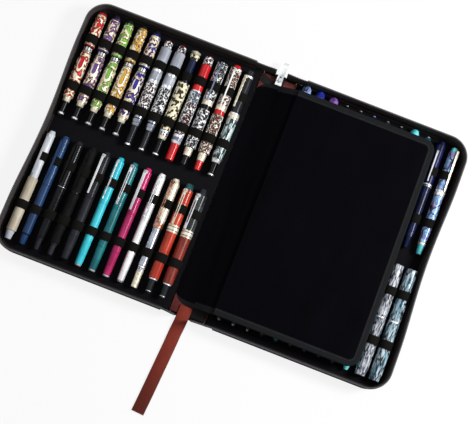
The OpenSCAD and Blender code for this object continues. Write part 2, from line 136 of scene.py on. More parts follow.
def cut(piece, tool):
    """Takes a tool's shape out of a piece."""
    modify(piece, "BOOLEAN", object=tool, operation="DIFFERENCE", solver="EXACT")
    bpy.data.objects.remove(tool)


def smooth(piece, angle=40):
    """Shades a piece smooth, apart from edges sharper than the angle."""
    pick(piece)
    bpy.ops.object.shade_smooth_by_angle(angle=math.radians(angle))
    return piece


def join(name, pieces):
    """Joins pieces into one mesh."""
    pick(*pieces)
    if len(pieces) > 1:
        bpy.ops.object.join()
    return named(name)


def sized(name, size, middle):
    """Gives the primitive that was just made its name, size and middle."""
    piece = named(name)
    piece.scale, piece.location = Vector(size) * MM, Vector(middle) * MM
    return settle(piece)


def block(name, size, middle=(0, 0, 0)):
    bpy.ops.mesh.primitive_cube_add(size=1)
    return sized(name, size, middle)


def ball(name, radii, middle, segments=16, rings=8):
    bpy.ops.mesh.primitive_uv_sphere_add(segments=segments, ring_count=rings, radius=1)
    return sized(name, radii, middle)


def slab(name, low, high, edge, cuts=0):
    """A flat piece between two corners, with rounded edges."""
    size, middle = [b - a for a, b in zip(low, high)], [(a + b) / 2 for a, b in zip(low, high)]
    piece = block(name, size, middle)
    if cuts:
        edit(piece, subdivide={"number_cuts": cuts})
    return smooth(bevel(piece, edge))


def length_of(line):
    return sum(math.dist(a, b) for a, b in zip(line, line[1:]))


def drawn(name, points, closed=False):
    """A drawn line through points in millimetres."""
    flat = len(points[0]) == 2
    curve = bpy.data.curves.new(name, "CURVE")
    curve.dimensions = "2D" if flat else "3D"
    curve.twist_mode = "Z_UP"
    curve.fill_mode = "BOTH" if flat else "FULL"
    line = curve.splines.new("POLY")
    line.points.add(len(points) - 1)
    for spot, point in zip(line.points, points):
        spot.co = (*(c * MM for c in point), *([0] * (3 - len(point))), 1)
    line.use_cyclic_u = closed
    piece = bpy.data.objects.new(name, curve)
    bpy.context.scene.collection.objects.link(piece)
    return piece


def as_mesh(curve, name):
    pick(curve)
    bpy.ops.object.convert(target="MESH")
    return named(name)


OUTWARDS = {"inside": False}


def close_up(piece):
    """Merges doubles and turns all faces outwards."""
    return edit(piece, remove_doubles={"threshold": 0.00001}, normals_make_consistent=OUTWARDS)


def sweep(name, line, outline):
    """Carries an outline along a line, and closes the result into a solid strip."""
    path, profile = drawn(name, line), drawn("outline", outline, closed=True)
    path.data.bevel_mode = "OBJECT"
    path.data.bevel_object = profile
    path.data.use_fill_caps = True
    strip = as_mesh(path, name)
    bpy.data.objects.remove(profile)
    return close_up(strip)


def pulled_up(height):
    """The settings of an extrusion along Z."""
    return {"TRANSFORM_OT_translate": {"value": (0, 0, height * MM)}}


def thickened(name, outline, depth, flat_angle):
    """Fills an outline and makes it thick upwards."""
    return edit(
        as_mesh(drawn(name, outline, closed=True), name),
        dissolve_limited={"angle_limit": flat_angle},
        extrude_region_move=pulled_up(depth),
        normals_make_consistent=OUTWARDS,
    )


def repeat(piece, pitch, line, length=None):
    """Repeats a piece along a line, and bends the row to it."""
    path = drawn("path", line)
    modify(
        piece, "ARRAY", fit_type="FIXED_COUNT", count=int((length or length_of(line)) / pitch),
        use_relative_offset=False, use_constant_offset=True, constant_offset_displace=(pitch * MM, 0, 0),
    )
    modify(piece, "CURVE", object=path, deform_axis="POS_X")
    bpy.data.objects.remove(path)
    return piece


def round_outline(across, up, radius, steps=3, centre=(0, 0)):
    """A rectangle with rounded corners, as an outline."""
    points = []
    for quarter, (sx, sy) in enumerate(((1, 1), (-1, 1), (-1, -1), (1, -1))):
        for i in range(steps + 1):
            turn = math.radians(90 * (quarter + i / steps))
            x = centre[0] + sx * (across / 2 - radius) + radius * math.cos(turn)
            points.append((x, centre[1] + sy * (up / 2 - radius) + radius * math.sin(turn)))
    return points


def finer(points, cuts):
    """Rounds a line through its points, with some cuts between each two."""
    p = [np.array(q, float) for q in points]
    p = [2 * p[0] - p[1]] + p + [2 * p[-1] - p[-2]]
    line = []
    for a, b, c, d in zip(p, p[1:], p[2:], p[3:]):
        square, cube = 2 * a - 5 * b + 4 * c - d, 3 * b - a - 3 * c + d
        for t in (i / cuts for i in range(cuts)):
            line.append((2 * b + (c - a) * t + square * t**2 + cube * t**3) / 2)
    return [tuple(q) for q in line + [p[-2]]]


def step(value, low, high):
    """0 below low, 1 above high, and smooth between them."""
    t = np.clip((value - low) / (high - low), 0, 1)
    return t * t * (3 - 2 * t)


def store(piece, name, values):
    """Stores one value for each point of a mesh."""
    piece.data.attributes.new(name, "FLOAT", "POINT").data.foreach_set("value", list(values))


def stand_for(piece, node):
    """Hides the solid of the frame that a piece takes the place of."""
    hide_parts(node)


def fit(piece, body, node):
    """Makes a piece ride on a body, in place of one solid of the frame."""
    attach(piece, body)
    stand_for(piece, node)


print("Helpers ready")

# %% [markdown]
# ## The strap
#
# The strap is a flat strip of brown leather, sewn to the lining of the spine. It comes out over the
# lower end of the case and lies on the table, and its free end is cut square. A cloth simulation
# could drop it, but thick leather hardly sags, so a line that is rounded through a few measured
# points and a flat outline with soft corners give its shape.

# %% The strap
STRAP_ROUTE = [
    (-5, -151.5, 3.6), (-5, -157.5, 3.6), (-5.2, -163.5, 3.6), (-5.6, -169.5, 3.2), (-6.2, -177.5, 1.9),
    (-7, -186.5, 1.1), (-8, -205.5, 1), (-10, -235.5, 1), (-12, -265.5, 1), (-14, -291.5, 1),
]
STRAP_WIDTH, STRAP_THICKNESS = 16, 1.8
strap_line = finer(STRAP_ROUTE, 3)
strap = sweep("leather_strap", strap_line, round_outline(STRAP_WIDTH, STRAP_THICKNESS, 0.5, 2))
smooth(strap, 50)
fit(strap, "spine", "strap")
[[c * MM for c in p] for p in strap_line]

# %% [markdown]
# ## Writing materials as sums
#
# A material is a graph of nodes. Wiring it by hand is slow to read, so one small class stands for a
# socket and turns +, - and * into Math nodes, and another one holds a material's shader. Only
# colour, roughness, metal, coat and bump change over a surface here. Every other setting is a
# plain number on the shader, so the model can be carried to another program.


# %% Materials as sums
class Value:
    """A socket that can be added, taken away and multiplied."""

    def __init__(self, finish, socket):
        self.finish, self.socket = finish, socket

    def maths(self, operation, *values):
        return self.finish.node("Math", {"operation": operation}, *values)

    def __add__(self, other):
        return self.maths("ADD", self, other)

    def __sub__(self, other):
        return self.maths("SUBTRACT", self, other)

    def __rsub__(self, other):
        return self.maths("SUBTRACT", other, self)

    def __mul__(self, other):
        return self.maths("MULTIPLY", self, other)

    __radd__ = __add__

    def between(self, low, high):
        """0 below low, 1 above high, and smooth between them."""
        curve = {"interpolation_type": "SMOOTHSTEP"}
        return self.finish.node("MapRange", curve, self, low, high, 0.0, 1.0)


def paint(code):
    """The colour of a hexadecimal code, as Blender's linear light."""
    parts = [int(code[i : i + 2], 16) / 255 for i in (0, 2, 4)]
    return (*(p / 12.92 if p < 0.04 else ((p + 0.055) / 1.055) ** 2.4 for p in parts), 1)


FINISHES = {}


class Finish:
    """A material, whose shader's plain settings are given by name."""

    def __init__(self, name, colour, roughness=0.5, **settings):
        self.material = bpy.data.materials.new(name)
        self.material.use_nodes = True
        self.tree = self.material.node_tree
        self.shader = self.tree.nodes["Principled BSDF"]
        self.use(Base_Color=colour, Roughness=roughness, **settings)
        self.place = self.node("TexCoord", out="Object")
        FINISHES[name] = self

    def feed(self, socket, value):
        if isinstance(value, Value):
            self.tree.links.new(value.socket, socket)
        else:
            socket.default_value = paint(value) if isinstance(value, str) else value

    def use(self, **values):
        for key, value in values.items():
            self.feed(self.shader.inputs[key.replace("_", " ")], value)
        return self

    def node(self, kind, settings=None, *values, out=0, **named_values):
        node = self.tree.nodes.new("ShaderNode" + kind)
        for key, value in (settings or {}).items():
            setattr(node, key, value)
        for key, value in [*enumerate(values), *named_values.items()]:
            self.feed(node.inputs[key], value)
        return Value(self, node.outputs[out])

    def cloud(self, size, detail=2.0, place=None, rough=0.5):
        """Soft noise with features of some millimetres."""
        inputs = {"Vector": place or self.place, "Scale": 1 / (size * MM), "Detail": detail}
        return self.node("TexNoise", None, **inputs, Roughness=rough)

    def cells(self, size, place=None):
        """The borders of cells of some millimetres."""
        kind = {"feature": "DISTANCE_TO_EDGE"}
        return self.node("TexVoronoi", kind, Vector=place or self.place, Scale=1 / (size * MM))

    def stretched(self, x, y, z, turn=0):
        """The place on the piece, stretched along its axes and turned about the upright one."""
        turned_by = (0, 0, math.radians(turn))
        return self.node("Mapping", None, Vector=self.place, Scale=(x, y, z), Rotation=turned_by)

    def ribs(self, axis, pitch):
        """Waves along one axis, some millimetres apart."""
        along = self.node("SeparateXYZ", None, self.place, out="XYZ"[axis])
        wave = self.node("Math", {"operation": "SINE"}, along * (2 * math.pi / (pitch * MM)))
        return wave * 0.5 + 0.5

    def mix(self, share, first, second):
        return self.node("Mix", {"data_type": "RGBA"}, out=2, Factor=share, A=first, B=second)

    def ramp(self, value, *stops):
        ramp = self.node("ValToRGB", None, value)
        elements = ramp.socket.node.color_ramp.elements
        for _ in stops[2:]:
            elements.new(1)
        for element, (at, code) in zip(elements, stops):
            element.position, element.color = at, paint(code)
        return ramp

    def own(self, name):
        """A value that is stored in the mesh of a piece."""
        return self.node("Attribute", {"attribute_name": name}, out=2)

    def bump(self, height, depth):
        """Raises the surface by a height times a depth in millimetres."""
        return self.use(Normal=self.node("Bump", None, Strength=1.0, Distance=depth * MM, Height=height))


def dress(piece, *names):
    """Puts finishes on a piece in place of those that it has."""
    piece.data.materials.clear()
    for name in names:
        piece.data.materials.append(FINISHES[name].material)
    return piece


print("Finish class ready")

# %% [markdown]
# ## Leather, cloth and tape
#
# Black leather is never plain black. It has a pebbled grain with darker creases and a soft shine on
# top of each pebble. Cells whose borders are pressed in give that grain. Cloth is a weave, so it is
# made of two crossing sets of ribs, and the elastic and the zip tape are the same at other pitches.
# The velvet is darkest where one looks straight into the pile and bluish at a glance, which is what
# a shader's sheen is for.

# %% Leather, cloth and tape
black_leather = Finish("black_leather", "000000", Specular_IOR_Level=0.04)
grain = black_leather.cells(1.5).between(0.0, 0.35)
worn = black_leather.cloud(40, 3)
black_leather.use(
    Base_Color=black_leather.mix(grain * 0.7 + worn * 0.5, "0b0a0b", "1b1a1b"),
    Roughness=0.68 - grain * 0.18 - worn * 0.1,
).bump(grain + black_leather.cloud(0.4) * 0.3, 0.12)


def woven(name, dark, light, pitch, roughness=0.85, depth=0.08, axes=(0, 1), shine=0.1):
    """Cloth of two crossing threads, uneven in colour."""
    cloth = Finish(name, dark, roughness, Specular_IOR_Level=shine)
    weave = cloth.ribs(axes[0], pitch)
    if len(axes) > 1:
        weave = weave * cloth.ribs(axes[1], pitch)
    patches = cloth.cloud(18, 4)
    cloth.use(
        Base_Color=cloth.mix(weave * 0.6 + patches * 0.5 - 0.05, dark, light),
        Roughness=roughness + patches * 0.12 - 0.06,
    ).bump(weave + cloth.cloud(0.6) * 0.4, depth)


woven("lining_cloth", "0a0a0d", "18181c", 0.9, shine=0.06)
woven("zip_cloth", "353131", "5a5453", 1.3, axes=(2,), roughness=0.75, shine=0.07)
woven("wall_cloth", "2e2a2a", "4c4746", 1.0, axes=(2,), roughness=0.8, shine=0.05)
woven("tape_cloth", "151517", "2a2a2d", 1.2, roughness=0.7)
woven("elastic", "080807", "161512", 1.1, depth=0.12, axes=(1,), shine=0.08)
woven("binding_cloth", "0b0c0e", "191a1d", 0.8, roughness=0.7)
woven("piping_cord", "191415", "3a2d2e", 1.4, roughness=0.6, shine=0.12)

velvet = Finish(
    "velvet", "05060b", 0.9, Specular_IOR_Level=0.03,
    Sheen_Weight=0.03, Sheen_Roughness=0.4, Sheen_Tint="404660",
)
nap = velvet.cloud(25, 3, velvet.stretched(1, 0.35, 1, 12))
pile = velvet.cloud(0.7, 2)
velvet.use(
    Base_Color=velvet.mix(nap * 0.8 + pile * 0.3 - 0.1, "030305", "0a0a0f"), Roughness=0.8 + pile * 0.2
).bump(pile + nap * 1.5, 0.15)

# The spine's lining is a darker copy of the strap's brown leather: its colours are painted shade, for the
# shade it lies in at the case's upper end.
lining = Finish("lining_leather", "7a3326", Specular_IOR_Level=0.15)
hide = lining.cells(0.8).between(0.0, 0.3)
tan = lining.cloud(22, 4, rough=0.6).between(0.25, 0.75)
lining.use(
    Base_Color=lining.mix(tan * 0.75 + hide * 0.25, "52211e", "783a36"), Roughness=0.62 - hide * 0.12
).bump(hide + lining.cloud(3) * 0.8, 0.08)

board_paper = Finish("grey_board", "8a7d68", 0.9)
fleck = board_paper.cloud(1.2, 4)
board_paper.use(Base_Color=board_paper.mix(fleck, "6f6453", "9c907b")).bump(fleck, 0.1)
zip_tooth = Finish("zip_tooth", "1d1e21", 0.35, Specular_IOR_Level=0.5)
zip_tooth.use(Base_Color=zip_tooth.mix(zip_tooth.cloud(3), "29292b", "4a4a4e"))
zip_tooth.bump(zip_tooth.cloud(0.5), 0.04)
thread = Finish("black_thread", "1a1b1e", 0.5, Specular_IOR_Level=0.4)
thread.use(Base_Color=thread.mix(thread.cloud(1), "131416", "2b2c30"))
print("Cloth and leather:", list(FINISHES))

# %% [markdown]
# ## The strap's own leather
#
# A cut edge of leather is dyed darker than its face, and the strap grows darker to its free end.
# A pattern that follows the strap can't read places in the room, so two values are stored in the
# mesh: how far a point is from the middle of the strap, and how far along it lies.

# %% The strap's leather
across, along = [], []
for point in strap.data.vertices:
    x, y, _ = point.co / MM
    middle = np.interp(-y, [-p[1] for p in strap_line], [p[0] for p in strap_line])
    across.append(abs(x - middle) / (STRAP_WIDTH / 2))
    along.append((STRAP_ROUTE[0][1] - y) / (STRAP_ROUTE[0][1] - STRAP_ROUTE[-1][1]))
store(strap, "across", across)
store(strap, "along", along)

tanned = Finish("strap_leather", "7a3326", Specular_IOR_Level=0.1)
off_middle, far = tanned.own("across"), tanned.own("along").between(0.25, 1.05)
edge = off_middle.between(0.86, 0.97)
crease = off_middle.between(0.74, 0.8) - off_middle.between(0.82, 0.88)
hide = tanned.cells(0.9).between(0.0, 0.3)
face = tanned.mix(tanned.cloud(14, 4) * 0.8 + hide * 0.2, "b84636", "dc604a")
face = tanned.mix(far * 0.75, face, "602a21")
tanned.use(
    Base_Color=tanned.mix(edge * 0.8, face, "2c100e"), Roughness=0.6 - hide * 0.1
).bump(hide * 0.6 - crease * 2 + tanned.cloud(2.5) * 0.8, 0.1)
dress(strap, "strap_leather")
print("Strap leather follows", len(across), "points")

# %% [markdown]
# ## Measures of the case
#
# Everything that goes round a cover follows its rim: straight along the upper end, round a corner,
# down the fore-edge, which dips a little in the middle, and back. One function draws that line at
# any distance inside the rim, and each wall, tape, cord and zip is an outline carried along it.

# %% Measures of the case
HALF_H, REACH, CORNER, WAIST, BULGE_Y = 167.5, 256.35, 28, 4, 110
WALL_START, RIM_Z, WALL_TOP, PANEL_Z, SHELL_T = 34, 26, 19, 4.5, 1.2
COVERS = {"left": -1, "right": 1}
# Nearer to the middle than this, the edges of a cover's board and lining panel are dark
BESIDE_SPINE = 25.4


def fore_edge(y):
    return REACH - WAIST * max(0, 1 - (y / BULGE_Y) ** 2) ** 2


def rim(inset, start=WALL_START):
    """The line round the right cover at a distance inside its rim."""
    turn, corner_y = CORNER - inset, HALF_H - CORNER
    quarter = [math.radians(90 * i / 12) for i in range(13)]
    arc = [(REACH - CORNER + turn * math.sin(a), corner_y + turn * math.cos(a)) for a in quarter]
    edge = [corner_y * (1 - i / 12) for i in range(1, 24)]
    return [
        (start, HALF_H - inset),
        *arc,
        *((fore_edge(y) - inset, y) for y in edge),
        *((x, -y) for x, y in reversed(arc)),
        (start, inset - HALF_H),
    ]


def wall_inset(z):
    """How far inside the rim the wall's inner face stands at a height."""
    return 4 - 3 * (z - SHELL_T) / (RIM_Z - SHELL_T)


def sheet(name, start, inset, low, high, edge):
    """A flat layer of the right cover, cut to the rim's line and rounded at its edges."""
    layer = thickened(name, rim(inset, start), high - low, 0.01)
    layer.location.z = low * MM
    return smooth(bevel(settle(layer), edge))


def for_both(right, name, node, *finishes):
    """Fits a piece on the right cover, and its mirrored twin on the left one."""
    pick(dress(right, *finishes))
    bpy.ops.object.duplicate()
    left = named(f"left_{name}")
    left.scale.x = -1
    edit(settle(left), flip_normals={})
    right.name = right.data.name = f"right_{name}"
    for side, piece in (("right", right), ("left", left)):
        if node:
            fit(piece, f"{side}_cover", f"{side}_{node}")
        else:
            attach(piece, f"{side}_cover")
    return left, right


print("The rim of a cover is", round(length_of(rim(0))), "mm long")

# %% [markdown]
# ## Outer covers, boards and lining panels
#
# The outside is leather over a stiff board, turned in at the edges, and the inside is a thin padded
# panel of black cloth. The layers are cut to the rim's line, made thick by an extrusion and rounded
# with a bevel. A fine cord is sewn round the outer cover where the wall joins it.

# %% Covers and panels
shell = sheet("outer_leather", 26.2, 2.6, 0, SHELL_T, 0.45)
for_both(shell, "outer_leather", "outer_shell", "black_leather")
panel = sheet("lining_cloth", 24.6, 3.9, 3.0, PANEL_Z, 0.5)
panels = for_both(panel, "lining_cloth", "lining_panel", "lining_cloth", "velvet")
edge_cord = smooth(sweep("edge_cord", rim(0), round_outline(2, 2, 0.99, 4, (1.7, 1.2))))
for_both(edge_cord, "edge_cord", None, "piping_cord")
boards = [dress(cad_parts[f"{side}_stiffener"], "grey_board", "black_leather") for side in COVERS]
for layer in (*panels, *boards):
    for face in layer.data.polygons:
        face.material_index = int(abs(face.center.x) < BESIDE_SPINE * MM)
for node in ("spine_board", "page_board"):
    dress(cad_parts[node], "grey_board")
print("Covers and panels made")

# %% [markdown]
# ## Walls, zip tape and piping
#
# The standing wall is a strip with a soft swell between its two seams, leather outside and cloth
# inside. Inside it the zip tape stands up with its rows of stitches, and where the panel meets the
# wall runs a cord of piping. All three are outlines carried along the rim.

# %% Walls, tape and piping
WALL_MIDDLE_X = 0.145
levels = [1.3 + (WALL_TOP - 1.3) * i / 8 for i in range(9)]
outer_face = [(wall_inset(z) - 1.4 - 0.5 * math.sin(math.pi * i / 8), z) for i, z in enumerate(levels)]
inner_face = [(wall_inset(z), z) for z in reversed(levels)]
walls = for_both(
    smooth(sweep("wall_leather", rim(0), outer_face + inner_face), 50),
    "wall_leather", "wall", "black_leather", "wall_cloth",
)
for wall, sign in zip(walls, COVERS.values()):
    for face in wall.data.polygons:
        inwards = Vector((sign * WALL_MIDDLE_X, 0, 0)) - face.center
        face.material_index = int(face.normal.xy.dot(inwards.xy) > 0)

# The tape's heights, and how far its inner face lies out at each: the dips are its seams
tape_line = [
    (15, 0.15), (17.6, 0.1), (18.2, 0.3), (18.8, 0.05), (20.6, 0), (21.1, 0.25), (21.7, 0), (23.4, 0.1)
]
tape_faces = [(wall_inset(z) + 0.1 + d, z) for z, d in tape_line]
tape_faces += [(wall_inset(z) + 1.1, z) for z, d in reversed(tape_line)]
for_both(smooth(sweep("zip_tape", rim(0), tape_faces), 25), "zip_tape", "zip_tape", "zip_cloth")
PIPING_Z = 5.5
piping_outline = round_outline(1.8, 1.8, 0.89, 4, (wall_inset(PIPING_Z) + 1.1, PIPING_Z))
for_both(smooth(sweep("piping", rim(0), piping_outline)), "piping", "piping", "piping_cord")
print("Walls, tapes and piping made")

# %% [markdown]
# ## The zip's teeth
#
# A coil zip is one nylon thread wound in loops. Seen from above it is a row of small humps, 2.2 mm
# apart. One hump is modelled as a peg of few faces, repeated by an Array modifier over the length
# of the rim and bent along it by a Curve modifier.

# %% The zip's teeth
COIL_Z, TOOTH_PITCH = 24.8, 2.2
tooth = bevel(block("tooth", (1.3, 2.3, 1.5), (TOOTH_PITCH / 2, 0, 0)), 0.35, 1)
core = block("core", (TOOTH_PITCH, 1.3, 1), (TOOTH_PITCH / 2, 0, -0.1))
coil_line = [(x, y, COIL_Z) for x, y in rim(wall_inset(COIL_Z) + 0.6)]
chain = repeat(join("zip_chain", [tooth, core]), TOOTH_PITCH, coil_line, length_of(rim(1.7)))
for_both(smooth(chain, 30), "zip_chain", "zip_coil", "zip_tooth")
print("Each zip chain has", len(chain.data.polygons), "faces")

# %% [markdown]
# ## The spine
#
# Outside, the spine is a strip of the same black leather with a soft hinge along each side. Inside
# it is lined with brown leather, whose edge is folded under. Each soft hinge is a piece of its own
# between the spine and its cover.

# %% The spine
HINGE_FROM, HINGE_TO = 21.8, 26.1
spine_cover = dress(slab("spine_cover", (-21.7, -166, 0), (21.7, 166, 1), 0.4), "black_leather")
fit(spine_cover, "spine", "spine_leather")
# The lining's darker brown is painted shade.
spine_lining = dress(slab("brown_lining", (-23.5, -162, 1.8), (23.5, 162, 2.5), 0.3), "lining_leather")
fit(spine_lining, "spine", "spine_lining")
for side, sign in COVERS.items():
    start, end = sign * HINGE_FROM, sign * HINGE_TO
    low, high = sorted((start, end))
    hinge = slab(f"{side}_soft_hinge", (low, -165, 0), (high, 165, 0.9), 0.3, cuts=8)
    stand_for(dress(hinge, "black_leather"), "hinge_leather")
    start * MM
    end * MM
    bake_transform(hinge)
for side, sign in COVERS.items():
    corners = []
    for up in (-1, 1):
        (x0, x1), (y0, y1) = sorted((sign * 26.4, sign * 34.4)), sorted((up * 162, up * 165))
        corners.append(slab("turned_in_corner", (x0, y0, 0.25), (x1, y1, 0.95), 0.25))
    corners = dress(join(f"{side}_turned_in_corners", corners), "black_leather")
    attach(corners, f"{side}_cover")
print("Spine made")

# %% [markdown]
# ## Finishes of the pens
#
# The pens are the bright part of the picture: lacquer, polished and aged metal, coloured resin with
# a swirl in it, and raised scrollwork in cream metal over a coloured ground. Resin and lacquer are
# glossy with a clear coat. Metal is smooth but never even, so a soft noise dulls it in places. The
# raised work reads a value that is stored in the mesh where the surface was raised, so colour and
# shape always agree. Its slopes are painted darker, as painted shade, and its tops lighter, as a
# painted highlight.


# %% Finishes of the pens
def resin(
    name, dark, light, size=9, roughness=0.22, coat=0.1, gloss=0.2, contrast=0.2, stretch=(1, 0.35, 1)
):
    """Glossy resin with a slow swirl of two tones."""
    finish = Finish(name, dark, roughness, Specular_IOR_Level=gloss, Coat_Weight=coat, Coat_Roughness=0.08)
    swirl = finish.cloud(size, 3, finish.stretched(*stretch, 20)).between(0.5 - contrast, 0.5 + contrast)
    scuff = finish.cloud(2.5, 4)
    finish.use(Base_Color=finish.mix(swirl, dark, light), Roughness=roughness + scuff * 0.12 - 0.04)
    finish.bump(scuff, 0.02)


def metal(name, dark, light, roughness, size=4.0, shine=0.9):
    """Polished metal that is duller where it is handled."""
    finish = Finish(name, light, roughness, Metallic=shine)
    wear = finish.cloud(size, 4)
    finish.use(
        Base_Color=finish.mix(wear.between(0.3, 0.7), dark, light), Roughness=roughness + wear * 0.2 - 0.08
    ).bump(wear, 0.03)


def scrollwork(name, pit, ground, raised, top, shine=0.25):
    """Raised work over a coloured ground, with painted shade on its slopes and a painted highlight on its
    tops.
    """
    finish = Finish(name, ground, 0.35, Specular_IOR_Level=0.2, Coat_Weight=0.1, Coat_Roughness=0.1)
    height = finish.own("raised") + finish.cloud(1.0, 4) * 0.5 - 0.25
    # The colour at mid height, on the slopes of the raised work, is painted shade, and the colour at the tops
    # is a painted highlight.
    stops = (0.04, ground), (0.14, ground), (0.34, pit), (0.56, pit), (0.7, raised), (0.92, top)
    finish.use(
        Base_Color=finish.ramp(height, *stops),
        Metallic=height.between(0.5, 0.62) * shine,
        Roughness=0.35 + finish.cloud(1.5) * 0.15,
    ).bump(height, 0.7)


def veined(name, ground, tint, vein, size, turn, fine, light="f2f4f4", run=0.4, seam=0.16):
    """Polished shell or marble: cloudy colours with dark veins running along it."""
    finish = Finish(name, ground, 0.2, Specular_IOR_Level=0.25, Coat_Weight=0.15, Coat_Roughness=0.06)
    drift = finish.stretched(1, run, 1, turn)
    wander = finish.node("TexNoise", None, Vector=drift, Scale=1 / (size * MM), Detail=3.0, out=1)
    bend = finish.node("VectorMath", {"operation": "MULTIPLY_ADD"}, wander, (0.006, 0.006, 0.006), drift)
    seams = finish.cells(fine * 2, bend).between(0.02, seam)
    stops = (0.36, tint), (0.44, ground), (0.54, light), (0.6, ground), (0.68, tint)
    colour = finish.ramp(finish.cloud(size, 4, bend), *stops)
    finish.use(Base_Color=finish.mix(seams, vein, colour)).bump(seams, 0.05)


for looks in (
    ("black_resin", "060608", "141518", 9, 0.2, 0.05, 0.08),
    ("gloss_black", "070709", "191b1f", 14, 0.14, 0.06, 0.08),
    ("dark_grey", "17181c", "2c2e35", 8, 0.3, 0.05, 0.1),
    ("matte_black", "0c0c0d", "161616", 6, 0.6, 0, 0.05, 0.2, (1, 1, 1)),
    ("charcoal", "1d1e23", "2c2d34", 8, 0.4, 0, 0.1),
    ("navy_satin", "122e54", "1d4372", 16, 0.35),
    ("navy_resin", "0a0f26", "1a244c", 7, 0.18, 0.06, 0.1),
    ("night_blue", "080a26", "1c2158", 4, 0.18, 0.06, 0.1),
    ("clear_smoke", "1c1f22", "4a5052", 5, 0.15, 0.08, 0.12),
    ("ruby", "5a0d12", "8c2a24", 5),
    ("red_lacquer", "c40f18", "e6262b", 18, 0.16),
    ("orange_red", "a82c1a", "c9432a", 12, 0.18),
    ("brick", "66201a", "9c3728", 5, 0.25, 0.1, 0.2, 0.2, (2.5, 0.3, 2.5)),
    ("teal_finial", "10383c", "1f5c60"),
    ("turquoise", "1fbdd0", "4fdfee", 20, 0.25),
    ("teal", "0b5f66", "1f8a8f", 14, 0.22),
    ("magenta", "9c1250", "cd2a72", 14, 0.2),
    ("cyan", "2fb6c4", "7fe4e8", 5),
    ("dark_teal", "0e3a42", "1d6570", 5),
    ("beige_resin", "b7ab96", "d8cdb9", 10, 0.35),
    ("white_lacquer", "c3c9d3", "eef0f4", 20, 0.25),
    ("grey_cap", "9ba0ad", "ced3de", 12, 0.25),
    ("blue_grey", "5d6a86", "9aa5bd", 10, 0.2),
    ("deep_blue", "12186a", "3343c0", 4),
    ("purple_pearl", "4d2a72", "a072c8", 4),
):
    resin(*looks)
for looks in (
    ("silver", "a9acb2", "f4f5f7", 0.25, 4.0, 0.5),
    ("white_silver", "d4d6da", "fafafb", 0.24, 40.0, 0.35),
    ("steel", "737884", "a9afbb", 0.24, 24.0),
    ("cream_metal", "c4b99c", "f8f1de", 0.28, 3.0, 0.35),
    ("rose_metal", "7a4638", "c79a84", 0.28),
    ("zinc", "c6c9cd", "fdfdfd", 0.28, 9.0, 0.35),
):
    metal(*looks)
# Each colour's dark tone is the painted shade on the slopes of its scrollwork, and also the dark of its
# band's swirl.
for colour, pit, ground in (
    ("red", "3d0708", "d42327"), ("purple", "221330", "75509a"), ("green", "1a3410", "86cc50"),
    ("yellow", "5a3604", "f0ba44"), ("indigo", "0e0e38", "3436a8"),
):
    scrollwork(f"{colour}_relief", pit, ground, "cfac80", "fbf0d8")
    resin(f"{colour}_band", pit, ground, 4, contrast=0.12)
for looks in (
    ("silver_on_black", "040405", "121316", "c9ccd2", "ffffff"),
    ("silver_on_red", "0a0405", "5a1418", "ccced3", "ffffff"),
    ("silver_on_orange", "160a07", "6e3423", "dccdbd", "fff6ec"),
    ("silver_on_blue", "1b222c", "62788c", "ccd4dc", "ffffff"),
    ("ivory_openwork", "120f0a", "2c261b", "e0d2a8", "f7eecb", 0.1),
):
    scrollwork(*looks)
for looks in (
    ("pale_marble", "a2a9b6", "62687a", "151110", 4, 12, 1.7, "dcdfe6", 0.2),
    ("blue_marble", "8fb3c6", "3d8099", "0e1418", 5, -12, 2.0, "d8e4ec", 0.22),
    ("pearl_shell", "5b8fca", "a4688e", "1d2348", 7, 30, 8, "a6ccee", 0.8, 0.06),
    ("facet_teal", "9fc0c2", "3f8286", "0b1618", 6, 0, 3.4),
):
    veined(*looks)

# A ring of small dark and light blocks
checked = Finish("checked_ring", "0c0c0e", 0.3, Metallic=0.4)
blocks = checked.ribs(0, 3.4).between(0.4, 0.6)
lines = checked.ribs(1, 2.6).between(0.72, 0.85)
checked.use(Base_Color=checked.mix(blocks - blocks * lines + lines * 0.6, "0c0c0e", "dcdde0"))
checked.bump(blocks + checked.cloud(1), 0.12)
print(len(FINISHES), "finishes in all")

# %% [markdown]
# ## Patterns of the raised work
#
# Each pattern takes the turn round a pen and the way along it, and answers with a height from 0 in
# the ground to 1 on top. Waves make a winding vine with leaves, noise makes branching lines and
# round holes, and an oval with a bare field can be set among them.

# %% Patterns
PITCH, FIRST_PEN = 18.35, 37.2
ROW_TOP = {"upper": 158.5, "lower": -9.5}
LOOP_AT = {"upper": (41, 105.5), "lower": (34, 98.5)}
LOOP_WIDTH, PEN_FIT = 11, 0.15
RAISED = ("relief", "on_black", "on_red", "on_orange", "on_blue", "openwork")
RELIEF_DEPTH, RING_PITCH = 0.9, 0.6


def clouds(points, size, seed):
    """Noise at many points, with features of some millimetres."""
    shift = Vector((seed * 17.3, seed * 5.1, seed * 9.7))
    return np.array([noise.noise(Vector(p) / size + shift) for p in points])


def off_turn(turn, middle):
    """How far a turn is from a middle one, the short way round."""
    return (turn - middle + math.pi) % (2 * math.pi) - math.pi


def vine(turn, along, points, seed):
    """A winding stem with leaves on both sides."""
    sway = 0.9 * np.sin(along / 5.0 + seed) + 0.5 * np.sin(along / 2.6 + 2 * seed)
    stem = 1 - step(np.abs(off_turn(turn, sway + seed)) * 7, 0.8, 2.0)
    waves = np.sin(along / 1.5 + 2.2 * np.sin(3 * turn + seed)) * np.cos(4 * turn - along / 3.2)
    leaf = step(waves, 0.2, 0.6)
    patch = step(clouds(points, 3.8, seed) + 0.5 * clouds(points, 1.8, seed + 3), -0.04, 0.18)
    return np.clip(np.maximum(stem, 0.9 * np.maximum(leaf * 0.8, patch)), 0, 1)


